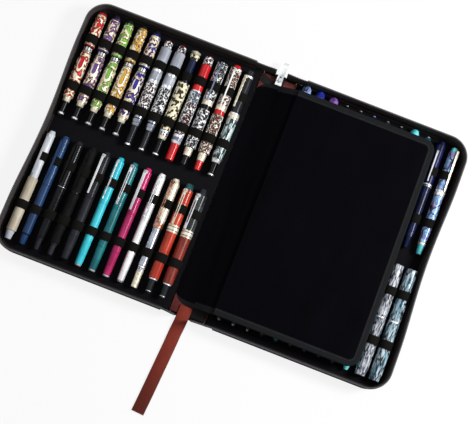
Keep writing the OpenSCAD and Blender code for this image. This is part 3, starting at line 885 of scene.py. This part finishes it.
def tangle(turn, along, points, seed):
    """Fine branching lines, close together."""
    wide = np.abs(clouds(points, 3.8, seed))
    fine = np.abs(clouds(points, 2.3, seed + 5))
    return np.clip(np.maximum(1 - step(wide, 0.07, 0.2), 0.9 * (1 - step(fine, 0.06, 0.17))), 0, 1)


def openwork(turn, along, points, seed):
    """A carved skin with rounded holes."""
    return 1 - step(clouds(points, 3.4, seed) + 0.25 * clouds(points, 1.7, seed + 2), 0.0, 0.14)


def medallion(turn, along, height, middle):
    """An oval frame with a bare field, on the upper side."""
    reach = np.sqrt(((along - middle) / 12.5) ** 2 + (off_turn(turn, math.pi / 2) * 7 / 4.4) ** 2)
    return np.where(reach < 0.62, 0.1, np.where(reach < 1, 0.95, height))


PATTERNS = {"relief": vine, "openwork": openwork}
print("Patterns:", [p.__name__ for p in (vine, tangle, openwork, medallion)])

# %% [markdown]
# ## Turning a pen
#
# A pen is a turned piece, so it is made as on a lathe: its half outline is drawn, and Spin carries
# it round the axis. Each section has a finish, a length and one or two radii. Where a section is
# raised scrollwork, the outline gets a ring each 0.6 mm, the points are moved outwards by the
# pattern, and the height is stored for the finish. A clip is a tapered blade on a root, with a ball
# or a boss at its end.


# %% The lathe
def turned(name, sections, axis, seed, oval):
    """Turns the sections round an axis, and raises their scrollwork."""
    x, top, z = axis
    line, reach, parts = [(0.0, 0.0)], 0.0, []
    for finish, length, *radii in sections:
        first, last, soft = radii[0], radii[-1], min(0.4, length / 4)
        is_raised = finish.endswith(RAISED)
        rings = max(1, round(length / RING_PITCH)) if is_raised else 1
        line.append((first - soft * 0.8, reach))
        for i in range(rings + 1):
            t = i / rings
            line.append((first + (last - first) * t, reach + soft + (length - 2 * soft) * t))
        reach += length
        line.append((last - soft * 0.8, reach))
        parts.append((reach, finish, is_raised))
    line.append((0.0, reach))
    steps, centre = 64 if any(p[2] for p in parts) else 32, Vector((x, top, z)) * MM
    pen = edit(
        as_mesh(drawn(name, [(x + r, top - s, z) for r, s in line]), name),
        spin={"steps": steps, "angle": 2 * math.pi, "center": centre, "axis": (0, 1, 0)},
        remove_doubles={"threshold": 0.000005},
        normals_make_consistent=OUTWARDS,
    )
    used = list(dict.fromkeys(s[0] for s in sections))
    dress(pen, *used)
    ends = [p[0] for p in parts]
    for face in pen.data.polygons:
        place = min(int(np.searchsorted(ends, top - face.center.y / MM)), len(ends) - 1)
        face.material_index = used.index(parts[place][1])
    points = np.array([v.co for v in pen.data.vertices]) / MM
    off = points - np.array([x, 0, z])
    along, turn = top - points[:, 1], np.arctan2(off[:, 2], off[:, 0])
    height = np.zeros(len(points))
    for start, (end, finish, is_raised) in zip([0.0, *ends], parts):
        if is_raised:
            here = (along > start + 0.3) & (along < end - 0.3)
            pattern = PATTERNS.get(finish.split("_")[-1], tangle)
            made = pattern(turn[here], along[here], points[here], seed)
            if oval and start < oval < end:
                made = medallion(turn[here], along[here], made, oval)
            height[here] = made
            radius = np.hypot(off[here, 0], off[here, 2])
            scale = (radius - RELIEF_DEPTH * (1 - made)) / radius
            points[here, 0] = x + off[here, 0] * scale
            points[here, 2] = z + off[here, 2] * scale
    if height.any():
        pen.data.vertices.foreach_set("co", (points * MM).ravel())
        pen.data.update()
        store(pen, "raised", height)
    return smooth(pen, 35)


CLIP_WIDTHS = {"bar": 3.4, "wide": 4.4, "wire": 4.2, "boss": 5.4, "thick_boss": 3.8, "thin": 2.4}
BLADE, ROOT, TAPER = 0.9, 4, 0.32


def clip(finish, axis, start, length, turn, lift, style):
    """A clip that springs from the cap, passes over the elastic and ends in a small ball."""
    x, top, z = axis
    top -= start
    width = CLIP_WIDTHS[style]
    blade = block("blade", (width, length, BLADE), (x, top - length / 2, z + lift + BLADE / 2))
    edit(blade, subdivide={"number_cuts": 3})
    for point in blade.data.vertices:
        t = (top - point.co.y / MM) / length
        point.co.x = (x + (point.co.x / MM - x) * (1 - TAPER * t)) * MM
    bevel(blade, 0.28)
    if style in ("wire", "boss"):
        cut(blade, block("slot_cutter", (width * 0.36, length * 0.66, 4), (x, top - length / 2, z + lift)))
    high = lift + BLADE
    parts = [blade, bevel(block("root", (width, ROOT, high), (x, top - ROOT / 2, z + high / 2)), 0.35)]
    has_boss = "boss" in style
    radius = 1.2 if has_boss else 1.05
    parts.append(ball("ball", [radius] * 3, (x, top - length + 1, z + lift + 0.25)))
    for at, radius in ((7.5, 2.6), (1.5, 1.6)) if has_boss else ():
        parts.append(ball("knob", (radius, radius, radius / 2), (x, top - at, z + lift + 0.5), 20, 10))
    made = join("clip", parts)
    middle = Vector((x, 0, z)) * MM
    lean = Matrix.Rotation(math.radians(turn), 4, "Y")
    made.data.transform(Matrix.Translation(middle) @ lean @ Matrix.Translation(-middle))
    return dress(smooth(made), finish)


print("Lathe and clips ready")

# %% [markdown]
# ## The pens themselves
#
# Each pen is a list of sections from the cap's top to its end, each with its finish, its length and
# its radius at the start and, where it tapers, at the end. Pens of one kind share a list with the
# colour left open. All pens are welded to the case here, so each rides on its cover.


# %% The pens
def read(text):
    """Reads the sections of a pen."""
    parts = [part.split() for part in text.split(",")]
    return [(finish, *(float(n) for n in numbers)) for finish, *numbers in parts]


def relief_pen(c):
    return f"""dark_grey 4 3.4 4.6, {c}_band 2.4 5.6 5.8, black_resin 0.6 5.2, cream_metal 1 6,
        {c}_relief 34 6.3 7.5, {c}_band 1.4 7.3, cream_metal 1.2 7.5, {c}_relief 3.4 7.2 7, cream_metal 1 7,
        {c}_band 2 6.8, black_resin 1 5.4, checked_ring 5 5.4, black_resin 1 5.3, cream_metal 1 5.9,
        {c}_relief 10 5.7 7.3, {c}_relief 33 7.3 7.5, cream_metal 1.2 6.8, {c}_relief 16.8 6.4 6.6,
        cream_metal 1 6.2, cream_metal 6 4.8 4.4, black_resin 14.5 3.9 3.6, silver 2.5 3.8 4"""


def topped_pen(ornament):
    return f"""ruby 2 3 3.5, silver_on_red 9 4.8 5.5, grey_cap 30 6.8 7, silver 4 7, grey_cap 11 7,
        silver 5 6.9, {ornament} 38 7.5, silver 1.5 7, dark_grey 1 6, steel 3 6.6, dark_grey 1 5.8,
        steel 3.5 6.4, dark_grey 1 5.6, steel 5 6 5.6, steel 4 5.2 4.8, dark_grey 24 3.9 3.5, silver 2 3.6"""


def filigree_pen(c, ornament):
    return f"""{c} 4 4.6 5.4, {ornament} 52 7.2, cream_metal 7 6.9, {c} 6 6.6, {ornament} 52 7.4,
        cream_metal 11 5.2 4.6, {c} 12 4.1 3.8"""


def clip_pen(cap, body, tip, a=4.2, b=5.5, c=5.2, d=4.4):
    middle = (c + d) / 2
    return f"""{cap} 5 {a - 0.6} {a}, {cap} 55 {b - 0.2} {b}, {body} 2 {b}, {body} 50 {c},
        {body} 18 {c} {middle}, {body} 12 {middle} {d}, {tip} 2 {d - 0.3} {d - 0.8}"""


def hidden_pen(cap, end):
    return f"{cap} 52 6.2 6.3, silver 2 6.3, {cap} 70 6 5.8, {cap} {end}"


BANDED = "cream_metal 2.4 7.2, black_resin 0.6 7, cream_metal 4 7.3, black_resin 0.6 7, cream_metal 2.4 7.2"
OPEN_END = "silver 2 5.4, dark_grey 14 3.9 3.5, silver 1 3.6, dark_grey 2 3.2 2.8"
# Each pen's solid, its drop below the row's top, its clip (finish, start, length, turn outwards and
# style) and its sections
RELIEF_COLOURS = ("red", "purple", "green", "yellow", "indigo")
LEFT_PENS = {
    **{("upper", 11 - i): (f"{c}_relief_pen", 0, None, relief_pen(c)) for i, c in enumerate(RELIEF_COLOURS)},
    ("upper", 6): ("red_topped_pen", 5, None, topped_pen("silver_on_red")),
    ("upper", 5): ("grey_topped_pen", 5, None, topped_pen("silver_on_black")),
    ("upper", 4): ("ivory_star_pen", 5, None, """cream_metal 2 2.4 3.2, cream_metal 4 6.5 4.2,
        ivory_openwork 7 6.3 4.4, navy_resin 32 4.6 4.8, ivory_openwork 56 7.5, ivory_openwork 10 6.2 5.8,
        silver 3 6, checked_ring 4 5.6, cream_metal 5 5.4 4.6, black_resin 19 3.9 3.5, silver 2 3.8"""),
    ("upper", 3): ("red_lacquer_pen", 5, None, """ruby 2 3 3.6, silver_on_red 11 5.4 6,
        red_lacquer 36 6.4 6.6, silver 2 6.6, silver_on_blue 16 7, silver_on_red 32 7.4, silver_on_red 11 6.6,
        silver 4 6.6, blue_grey 4 6.2, silver 4 6.5 5.6, red_lacquer 22 5.2 5"""),
    ("upper", 2): ("silver_filigree_pen", 4, ("blue_grey", 6, 52, 8, "thin"),
        filigree_pen("black_resin", "silver_on_black")),
    ("upper", 1): ("orange_filigree_pen", 4, ("white_silver", 6, 52, 8, "thin"),
        filigree_pen("red_lacquer", "silver_on_orange")),
    ("upper", 0): ("facet_pen", 4, ("cream_metal", 8, 44, 34, "thick_boss"), """dark_grey 7 4.8 5,
        white_silver 3 5.2, dark_grey 49 5.6 5.8, silver 2 6.6, cream_metal 5 6.9, silver 2 6.6,
        facet_teal 54 6.8, silver 5 5.8 5.2, black_resin 15 4 3.7, silver 2 3.9"""),
    ("lower", 11): ("beige_pen", 0, ("white_lacquer", 5, 53, 22, "bar"),
        "white_lacquer 4 3.6 4.2, white_lacquer 59 4.7 5, beige_resin 70 6.2, white_lacquer 11 5 3.8"),
    ("lower", 10): ("navy_slim_pen", 0, ("navy_satin", 5, 53, 20, "bar"), """navy_satin 4 3.8 4.6,
        navy_satin 62 5.4 5.6, navy_satin 64 5.4 5.2, navy_resin 2 4.9, navy_satin 12 4.4 3.6"""),
    ("lower", 9): ("gloss_black_pen", 0, ("gloss_black", 6, 51, 24, "bar"), """dark_grey 5 4 5,
        gloss_black 56 6 6.4, steel 1 6.3, gloss_black 67 6 5.4, charcoal 2 4.4, charcoal 13 3.6 3"""),
    ("lower", 8): ("matte_black_pen", 0, ("matte_black", 6, 51, 24, "bar"), """matte_black 5 4 5,
        matte_black 56 6.2 6.4, gloss_black 2 6.2, matte_black 66 6 5.8, charcoal 2 4.4,
        charcoal 13 3.6 3.1"""),
    ("lower", 7): ("black_clip_pen", 0, ("white_silver", 4, 53, 24, "bar"),
        clip_pen("dark_grey", "charcoal", "black_resin", 4.8, 6.0, 5.8, 4.6)),
    ("lower", 6): ("turquoise_pen", 0, ("silver", 4, 53, 16, "thin"),
        clip_pen("turquoise", "turquoise", "white_silver")),
    ("lower", 5): ("teal_pen", 0, ("silver", 4, 53, 16, "wire"), clip_pen("teal", "teal", "white_silver")),
    ("lower", 4): ("pink_pen", 0, ("white_silver", 4, 53, 20, "wide"),
        clip_pen("magenta", "magenta", "white_silver")),
    ("lower", 3): ("silver_pen", 0, ("silver", 4, 55, 12, "wire"),
        clip_pen("white_silver", "white_silver", "silver", 4.4, 5.2, 4.8, 4.2)),
    ("lower", 2): ("cream_pen", 0, ("rose_metal", 4, 56, 26, "wire"), """cream_metal 6 3.8 5,
        cream_metal 50 6.1 6.3, silver 2 6.3, rose_metal 8 6.5 6.2, steel 50 5.2 5, silver 2 4.3,
        checked_ring 3 4.2, silver 3 4.3, cream_metal 20 4.2 3.9"""),
    ("lower", 1): ("orange_pen", 0, ("cream_metal", 8, 47, 18, "wire"),
        f"teal_finial 8 4.6 5.4, orange_red 47 6.8 7, {BANDED}, orange_red 60 6.8 6.4, {OPEN_END}"),
    ("lower", 0): ("brick_pen", 0, ("white_silver", 8, 47, 34, "boss"),
        f"dark_grey 8 4.6 5.4, clear_smoke 47 6.8 7, {BANDED}, brick 60 6.8 6.5, {OPEN_END}"),
}
RIGHT_PENS = {
    ("upper", 10): ("navy_clip_pen", 0, ("white_silver", 14, 42, -18, "thin"), """navy_resin 5 4 4.8,
        night_blue 53 5.8 6, silver 2 6, navy_resin 1 5.8, silver 1 6, navy_resin 68 5.8 5.4,
        navy_resin 14 4.6 3.6"""),
    ("upper", 11): ("pearl_pen", 2, ("cream_metal", 4, 56, 24, "bar"), """cyan 6 4 5,
        pearl_shell 52 6.2 6.4, silver 3 6.7, white_silver 2 6.4, silver 3 6.7, pearl_shell 50 6.2,
        pearl_shell 13 5.6 5.2, cream_metal 3 5, cyan 12 4.4 3.2"""),
}
for column, c in ((10, "pale_marble"), (11, "blue_marble")):
    marbled = f"{c} 6 6.9 7.2, {c} 60 7.5, {c} 2 7.2, silver 2 7.3, {c} 2 7.2, {c} 64 7.5, {c} 8 7 6.6"
    RIGHT_PENS["lower", column] = ("marble_pens", 0, None, marbled)
for column, drop, c in (
    (0, -5, "pearl_shell"), (1, -4, "deep_blue"), (2, -3, "purple_pearl"), (8, -2, "cyan"),
):
    tips = f"{c} 1 3.2 4.2, {c} 2 4.3 5.2, {c} 5 5.6 6.2"
    rest = f"{c} 52 6.4, silver 2 6.4, {c} 70 6 5.8, {c} 12 4.6 3.8"
    RIGHT_PENS["upper", column] = ("right_upper_row_pens", drop, None, f"{tips}, {rest}")
for column, tip, c in (
    (3, "silver", "black_resin"), (4, "silver", "gloss_black"), (5, "blue_grey", "navy_resin"),
    (6, "silver", "dark_grey"), (7, "silver", "black_resin"), (9, "white_silver", "dark_teal"),
):
    sections = f"{tip} 2 1.6 2.2, {c} 6 3.8 4.6, {hidden_pen(c, '12 4.4 3.6')}"
    RIGHT_PENS["upper", column] = ("right_upper_row_pens", 0, None, sections)
DARK = ("gloss_black", "navy_resin", "black_resin", "dark_grey", "dark_teal")
for column, c in enumerate((*DARK, *DARK[:4])):
    sections = f"{c} 8 4 4.6, {hidden_pen(c, '10 4.4 3.6')}, {'silver' if column < 3 else c} 2 1.8 1.2"
    RIGHT_PENS["lower", column] = ("right_lower_row_pens", 0, None, sections)
RIGHT_PENS["lower", 9] = (
    "right_lower_row_pens", 0, None, "cyan 4 3.6 4.2, dark_teal 59 4.7 5, cyan 70 6.2, cyan 11 5 2.6"
)


def loop_radius(row, i, drop, sections):
    """The radius of an elastic loop that fits round the thickest section inside it."""
    middle, reach, found = LOOP_AT[row][i] - drop, 0, 0
    for _, length, *radii in sections:
        if reach < middle + LOOP_WIDTH / 2 and reach + length > middle - LOOP_WIDTH / 2:
            found = max(found, *radii)
        reach += length
    return found + PEN_FIT


OVAL_AT, CLIP_OVER_LOOP = 75, 1.2
held, made_for = {}, {}
SHARED = ("marble_pens", "right_upper_row_pens", "right_lower_row_pens")
for side, pens in (("left", LEFT_PENS), ("right", RIGHT_PENS)):
    for (row, column), (node, drop, its_clip, text) in pens.items():
        sections = read(text)
        made_for[node] = made_for.get(node, 0) + 1
        name = f"{node}_{made_for[node]}_turned" if node in SHARED else f"{node}_turned"
        thickest = max(max(s[2:]) for s in sections)
        x = COVERS[side] * (FIRST_PEN + PITCH * column)
        axis = x, ROW_TOP[row] - drop, PANEL_Z + PEN_FIT + thickest
        radii = [loop_radius(row, i, drop, sections) for i in (0, 1)]
        held[side, row, column] = axis, radii
        parts = [turned(name, sections, axis, column + 1, OVAL_AT if "relief" in node else None)]
        if its_clip:
            finish, start, length, outwards, style = its_clip
            turn = COVERS[side] * outwards
            parts.append(clip(finish, axis, start, length, turn, radii[0] + CLIP_OVER_LOOP, style))
        fit(join(name, parts), f"{side}_cover", node)
print(len(held), "pens turned")

# %% [markdown]
# ## Elastic loops
#
# Each row of pens is held by two bands of elastic. A band is sewn to the panel between each two
# pens and rises in an arch over every pen. It is one long strip, so its edge is drawn as a single
# outline, arch after arch, and extruded by the width of the band. A bevel takes the hardness off
# the cut edges, and a little noise makes the edges run as stretched elastic does.

# %% Elastic loops
BAND_START, BAND_THICKNESS = 28.03, 1.0


def arch(x, z, r, foot):
    turns = [math.radians(180 - 180 * i / 14) for i in range(15)]
    return [(x - r, foot), *((x + r * math.cos(a), z + r * math.sin(a)) for a in turns), (x + r, foot)]


def elastic_band(side, row, i):
    sign, low, high = COVERS[side], PANEL_Z + 0.1, PANEL_Z + 0.1 + BAND_THICKNESS
    over, under = [(sign * BAND_START, high)], [(sign * BAND_START, low)]
    for column in range(12):
        (x, _, z), radii = held[side, row, column]
        over += [(sign * a, b) for a, b in arch(abs(x), z, radii[i] + BAND_THICKNESS, high)]
        under += [(sign * a, b) for a, b in arch(abs(x), z, radii[i] + 0.03, low)]
    band = thickened("band", over + under[::-1], LOOP_WIDTH, 0.005)
    band.rotation_euler.x = math.pi / 2
    band.location.y = (ROW_TOP[row] - LOOP_AT[row][i] + LOOP_WIDTH / 2) * MM
    bevel(settle(band), 0.28, 2, 70)
    for point in band.data.vertices:
        point.co.y += noise.noise(point.co / (11 * MM)) * 0.5 * MM
    return band


for side in COVERS:
    loops = join(f"{side}_elastic_loops", [elastic_band(side, row, i) for row in ROW_TOP for i in (0, 1)])
    fit(dress(smooth(loops, 50), "elastic"), f"{side}_cover", f"{side}_pen_loops")
print("Eight bands of elastic made")

# %% [markdown]
# ## The page
#
# The page keeps the pens of the two sides apart. It is a stiff board with thin velvet pads on both
# faces and a woven binding folded round three edges. A pad is crowned, so it starts from a fine
# grid. The grid's outer corners are rounded, it is raised towards its middle with a slight wave,
# and extruded down to the board.

# %% The page
PAGE_X, PAGE_END, PAGE_Y, PAGE_HALF, PAGE_CORNER = 28, 213.35, 0.5, 150.5, 15
PAGE_MIDDLE, BINDING, BOARD_HALF = 23.6, 8.5, 1.02


def page_edge(inset=0):
    """The page's line from its upper inner corner round its outer edge, at a distance inside."""
    r = PAGE_CORNER - inset
    arc = [math.radians(90 * i / 10) for i in range(11)]
    x, y = PAGE_END - PAGE_CORNER, PAGE_HALF - PAGE_CORNER
    return [
        (PAGE_X + 0.2, PAGE_Y + PAGE_HALF - inset),
        *((x + r * math.sin(a), PAGE_Y + y + r * math.cos(a)) for a in arc),
        *((x + r * math.cos(a), PAGE_Y - y - r * math.sin(a)) for a in arc),
        (PAGE_X + 0.2, PAGE_Y - PAGE_HALF + inset),
    ]


def rounded(u, v, radius):
    """Moves a point of a square's corner onto a quarter of a disc."""
    a, b = (radius - u) / radius, (radius - v) / radius
    if a <= 0 or b <= 0:
        return u, v
    return radius - radius * a * math.sqrt(1 - b * b / 2), radius - radius * b * math.sqrt(1 - a * a / 2)


def rise_at(value, low, high):
    return float(step(value, low, high))


def grid(name, across, up):
    """A square of many small faces."""
    bpy.ops.mesh.primitive_grid_add(x_subdivisions=across, y_subdivisions=up, size=1)
    return named(name)


def velvet_pad(name, up):
    """One velvet pad, crowned away from the board."""
    wide, high = PAGE_END - PAGE_X - BINDING + 0.3, 2 * (PAGE_HALF - BINDING + 0.2)
    pad = grid(name, 60, 92)
    for point in pad.data.vertices:
        u, v = (0.5 - point.co.x) * wide, (0.5 - abs(point.co.y)) * high
        u, v = rounded(u, v, PAGE_CORNER - BINDING)
        x, y = PAGE_END - BINDING + 0.2 - u, math.copysign(high / 2 - v, point.co.y)
        edge = min(u, v)
        crown = 0.45 + 0.7 * rise_at(edge, 0, 7) * rise_at(x, PAGE_X, PAGE_X + 9)
        wave = 0.07 * noise.noise(Vector((x / 26, y / 34, 3 * up))) * rise_at(edge, 2, 15)
        point.co = Vector((x, PAGE_Y + y, PAGE_MIDDLE + up * (BOARD_HALF + crown + wave))) * MM
    edit(pad, extrude_region_move=pulled_up(-up * 0.4))
    for point in pad.data.vertices:
        if point.select:
            point.co.z = (PAGE_MIDDLE + up * BOARD_HALF) * MM
    return smooth(close_up(pad), 70)


inner_edge = slab("inner_edge", (27.75, -149.8, PAGE_MIDDLE - 1.35), (28.4, 150.8, PAGE_MIDDLE + 1.35), 0.3)
pads = join("velvet_pads", [velvet_pad("upper_pad", 1), velvet_pad("lower_pad", -1), inner_edge])
fit(dress(pads, "velvet"), "page", "page_pads")

upper_half = [
    (BINDING, 1.5), (BINDING - 0.2, 2), (BINDING - 0.8, 2.2), (7, 2.15), (6.7, 1.85), (6.4, 2.15), (4.2, 2.2),
    (3.2, 2.05), (2.4, 2.2), (1, 2.05), (0.2, 1.4), (0.02, 0.4),
]
lower_half = [(d, -z) for d, z in reversed(upper_half)]
inside = [(BINDING, -1.05), (1.1, -1.05), (1.1, 1.05), (BINDING, 1.05)]
binding_outline = [(d, PAGE_MIDDLE + z) for d, z in upper_half + lower_half + inside]
binding = smooth(sweep("page_binding_tape", page_edge(), binding_outline), 35)
fit(dress(binding, "binding_cloth"), "page", "page_binding")

STITCH, GAP, THREAD = 2.4, 0.9, 0.28
seam = [(x, y, PAGE_MIDDLE + 2) for x, y in page_edge(6.7)]
stitch = ball("page_stitches", (STITCH / 2, THREAD, THREAD * 0.7), ((STITCH + GAP) / 2, 0, 0), 6, 4)
stitches = smooth(repeat(stitch, STITCH + GAP, seam), 60)
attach(dress(stitches, "black_thread"), "page")
print("Page made")

# %% [markdown]
# ## The slack cloth at the spine
#
# The page hangs on a piece of the same velvet, sewn to the lining of the spine. It must be slack,
# because it has to let the page turn over, so it lies on the spine and then rises over the first
# pens to the page's inner edge. Its two ends carry on the binding of the page.

# %% The slack cloth
SLACK_FROM, SLACK_CORNER, SLACK_LOW, SLACK_RISE = -24.6, 18, 2.56, 17.1
wide, high = PAGE_X - 0.1 - SLACK_FROM, 2 * PAGE_HALF
cloth, from_end = grid("slack_cloth", 44, 120), []
for point in cloth.data.vertices:
    u, v = (point.co.x + 0.5) * wide, (0.5 - abs(point.co.y)) * high
    from_end.append(min(v, u + 14 * rise_at(v, 2, 14)))
    u, v = rounded(u, v, SLACK_CORNER)
    x, y = SLACK_FROM + u, PAGE_Y + math.copysign(high / 2 - v, point.co.y)
    t = max(0, (x + 22) / (PAGE_X + 22))
    rise = SLACK_RISE * (1 - math.cos(math.pi * t**1.35)) / 2
    thick = 0.15 + 0.35 * rise_at(x, -23, -18) + 0.7 * rise_at(x, 12, PAGE_X)
    fold = 0.7 * noise.noise(Vector((x / 9, y / 42, 0.5))) * math.sin(math.pi * min(1, t)) ** 2
    point.co = Vector((x, y, SLACK_LOW + thick + rise + fold)) * MM
store(cloth, "from_end", from_end)
modify(cloth, "SOLIDIFY", thickness=0.5 * MM, offset=-1)
dress(smooth(cloth, 60), "velvet", "binding_cloth")
from_end = cloth.data.attributes["from_end"].data
for face in cloth.data.polygons:
    width = 4.5 + 4 * rise_at(face.center.x / MM, -15, 24)
    face.material_index = int(np.mean([from_end[v].value for v in face.vertices]) < width)
stand_for(cloth, "page_gusset")
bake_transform(cloth)
print("Slack cloth has", len(cloth.data.polygons), "faces")

# %% [markdown]
# ## The zip's ends
#
# Beyond each wall the zip tape runs on freely to the spine. At the upper end both tapes meet in the
# slider, and at the lower end they are sewn down beside the strap. A tape end is a grid laid between
# two upright lines and given its thickness.

# %% The zip's ends
TAPE_Y, TAPE_BEND_Z = 165.05, 12


def tape_high(t):
    return 23.3 - 2.2 * t - 0.9 * math.sin(math.pi * t)


def tape_end(side, end, near):
    """The free tape from a wall to a place near the spine's middle, with its row of teeth."""
    sign = COVERS[side]
    tape = grid(f"{side}_{'upper' if end > 0 else 'lower'}_tape_end", 20, 9)
    for point in tape.data.vertices:
        t, h = point.co.x + 0.5, point.co.y + 0.5
        low = 1.4 - 0.9 * rise_at(t, 0.2, 0.3)
        z = low + (tape_high(t) - low) * h
        x, y = WALL_START + (near + 0.1 - WALL_START) * t, TAPE_Y + 1.2 * t
        y += 0.12 * math.sin(9 * h) + 0.35 * math.sin(math.pi * t) * noise.noise(Vector((x / 8, z / 9, sign)))
        point.co = Vector((sign * x, end * y, z)) * MM
    dress(modify(tape, "SOLIDIFY", thickness=0.9 * MM, offset=0), "zip_cloth")
    line = [
        (sign * (WALL_START + (near + 0.6 - WALL_START) * t), end * (TAPE_Y + 1.2 * t), tape_high(t) - 0.3)
        for t in (i / 8 for i in range(9))
    ]
    teeth = bevel(block("teeth", (1.3, 1.9, 1.5), (TOOTH_PITCH / 2, 0, 0)), 0.35, 1)
    dress(repeat(teeth, TOOTH_PITCH, line), "zip_tooth")
    tape = smooth(join(tape.name, [tape, teeth]), 35)
    stand_for(tape, "zip_tape_ends")
    ends = [Vector((sign * x, end * 166, TAPE_BEND_Z)) * MM for x in (16, WALL_START)]
    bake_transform(tape)


for side, end, near in (("left", 1, 7.2), ("right", 1, 7.2), ("left", -1, 15), ("right", -1, 5)):
    tape_end(side, end, near)

end_patch = dress(slab("zip_end_patch", (-7, 151.05, 2.6), (7, 166, 4.15), 0.4), "tape_cloth")
fit(end_patch, "spine", "zip_end_tab")
pegs = []
for i in range(13):
    middle = (0.5 if i % 2 else -0.5, 151.7 + 1.12 * i, 5.45)
    pegs.append(bevel(block("peg", (1.9, 1.3, 2.3), middle), 0.4))
fit(dress(smooth(join("closed_chain", pegs)), "zip_tooth"), "spine", "zip_end_chain")
# To the right of the strap a dark patch of tape cloth lies over the brown lining: it is painted shade, where
# the page's edge shades the spine.
shade_patch = slab("lower_end_patch", (3.2, -162, 2.52), (22.4, -132, 3.1), 0.25)
side_patch = slab("upper_side_patch", (-22.6, 150.5, 2.52), (-7.4, 162, 3), 0.2)
for point in side_patch.data.vertices:
    point.co.y -= 0.42 * (point.co.x + 22.6 * MM)
for patch in (shade_patch, side_patch):
    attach(dress(patch, "tape_cloth"), "spine")
print("Zip ends made")

# %% [markdown]
# ## Slider and pull
#
# The slider is cast zinc: a waisted plate on two side walls, with a bridge that holds the pull. The
# pull is a narrow frame, punched near its free end, and swings about its bar under the bridge. The
# bright edges come from the bevels, which catch the light, so every edge has one.

# %% Slider and pull
PIVOT_Y, PIVOT_Z, PLATE_Y, PLATE_LENGTH, PULL_LENGTH = 158.1, 9.7, 151.5, 10, 24
plate = slab("slider_plate", (-4.2, PLATE_Y, 7.1), (4.2, PLATE_Y + PLATE_LENGTH, 8.3), 0.01, cuts=3)
for point in plate.data.vertices:
    t = (point.co.y / MM - PLATE_Y) / PLATE_LENGTH
    point.co.x *= 1 - 0.26 * math.cos(math.pi * (t - 0.35)) ** 2 * (1 - t)
parts = [bevel(plate, 0.45, 3)]
for x in ((-4.1, -1.85), (1.85, 4.1)):
    parts.append(slab("side_wall", (x[0], 151.7, 4.45), (x[1], 161.3, 7.3), 0.35))
turns = [math.radians(180 * i / 14) for i in range(15)]
bridge_line = [(0, PIVOT_Y - 3.1 * math.cos(a), 8.2 + 3.25 * math.sin(a) ** 0.7) for a in turns]
parts.append(sweep("bridge", bridge_line, round_outline(2.2, 0.85, 0.3, 2)))
fit(dress(smooth(join("zip_slider_metal", parts), 35), "zinc"), "zip_slider", "slider_body")

pull = slab("pull_metal", (-4.3, PIVOT_Y - 1, 9), (4.3, PIVOT_Y + PULL_LENGTH, 10.4), 0.01, cuts=1)
for point in pull.data.vertices:
    point.co.x *= 0.86 + 0.14 * (point.co.y / MM - PIVOT_Y) / PULL_LENGTH
# The slot at the bar, the slot at the free end, and the pressed field between them
for half, start, end, bottom, edge in (
    (1.5, 1, 5, 5, 0.5), (2.1, 19.6, 21.6, 5, 0.5), (2.4, 7.5, 17.5, 10.15, 0.3),
):
    cut(pull, slab("punch", (-half, PIVOT_Y + start, bottom), (half, PIVOT_Y + end, 15), edge))
bevel(pull, 0.3, 2, 40)
bpy.ops.mesh.primitive_cylinder_add(
    vertices=20, radius=0.8 * MM, depth=7 * MM, location=Vector((0, PIVOT_Y, PIVOT_Z)) * MM,
    rotation=(0, math.pi / 2, 0),
)
bar = settle(named("bar"))
fit(dress(smooth(join("pull_metal", [pull, bar]), 35), "zinc"), "pull_tab", "pull_tab")
print("Slider and pull made")

# %% [markdown]
# ## Light, floor and background
#
# A case full of glossy pens wants large soft lights. One lamp hangs low on the right, so that each
# pen has a bright streak on that side, a second, weaker one fills from the left, and the world gives
# a low even light. The floor and the world look white to the camera and in reflections only, which
# Light Path allows, so the lamps can stay at a plain level. The floor keeps a part of plain white
# paint, which takes the shadow.

# %% Light, floor and background
SEEN_BY = ("Is Camera Ray", "Is Glossy Ray", "Is Transmission Ray")
WORLD_LIGHT, FLOOR_GLOW = 0.2, 0.86
world = bpy.data.worlds.new("studio")
bpy.context.scene.world = world
world.use_nodes = True
tree = world.node_tree
path = tree.nodes.new("ShaderNodeLightPath")
seen = path.outputs[SEEN_BY[0]]
for ray in SEEN_BY[1:]:
    both = tree.nodes.new("ShaderNodeMath")
    both.operation = "ADD"
    tree.links.new(seen, both.inputs[0])
    tree.links.new(path.outputs[ray], both.inputs[1])
    seen = both.outputs[0]
strength = tree.nodes.new("ShaderNodeMapRange")
strength.inputs["To Min"].default_value = WORLD_LIGHT
strength.inputs["To Max"].default_value = 1.0
tree.links.new(seen, strength.inputs["Value"])
tree.links.new(strength.outputs[0], tree.nodes["Background"].inputs["Strength"])
tree.nodes["Background"].inputs["Color"].default_value = (1, 1, 1, 1)
bpy.context.scene.view_settings.view_transform = "Standard"

for name, place, turn, power, size in (
    ("key", (1.15, 0.35, 1.05), (-14, 46, 0), 25, 0.42),
    ("fill", (-0.55, 0.5, 1.3), (-20, -22, 0), 2.6, 0.9),
):
    bpy.ops.object.light_add(type="AREA", location=place, rotation=[math.radians(a) for a in turn])
    lamp = bpy.context.object
    lamp.name = name
    lamp.data.energy, lamp.data.size = power, size

bpy.ops.mesh.primitive_plane_add(size=6, location=(0, 0, -0.0002))
floor = named("floor")
paper = Finish("white_paper", "ffffff", 0.9, Specular_IOR_Level=0.0)
grain = paper.cloud(3, 4)
paper.use(Base_Color=paper.mix(grain, "fafafa", "ffffff")).bump(grain, 0.02)
glow = paper.node("Emission", None, Color="ffffff", Strength=1.0)
rays = [paper.node("LightPath", None, out=ray) for ray in SEEN_BY]
share = (rays[0] + rays[1] + rays[2]) * FLOOR_GLOW
surface = paper.node("MixShader", None, share, Value(paper, paper.shader.outputs[0]), glow)
paper.tree.links.new(surface.socket, paper.tree.nodes["Material Output"].inputs["Surface"])
dress(floor, "white_paper")
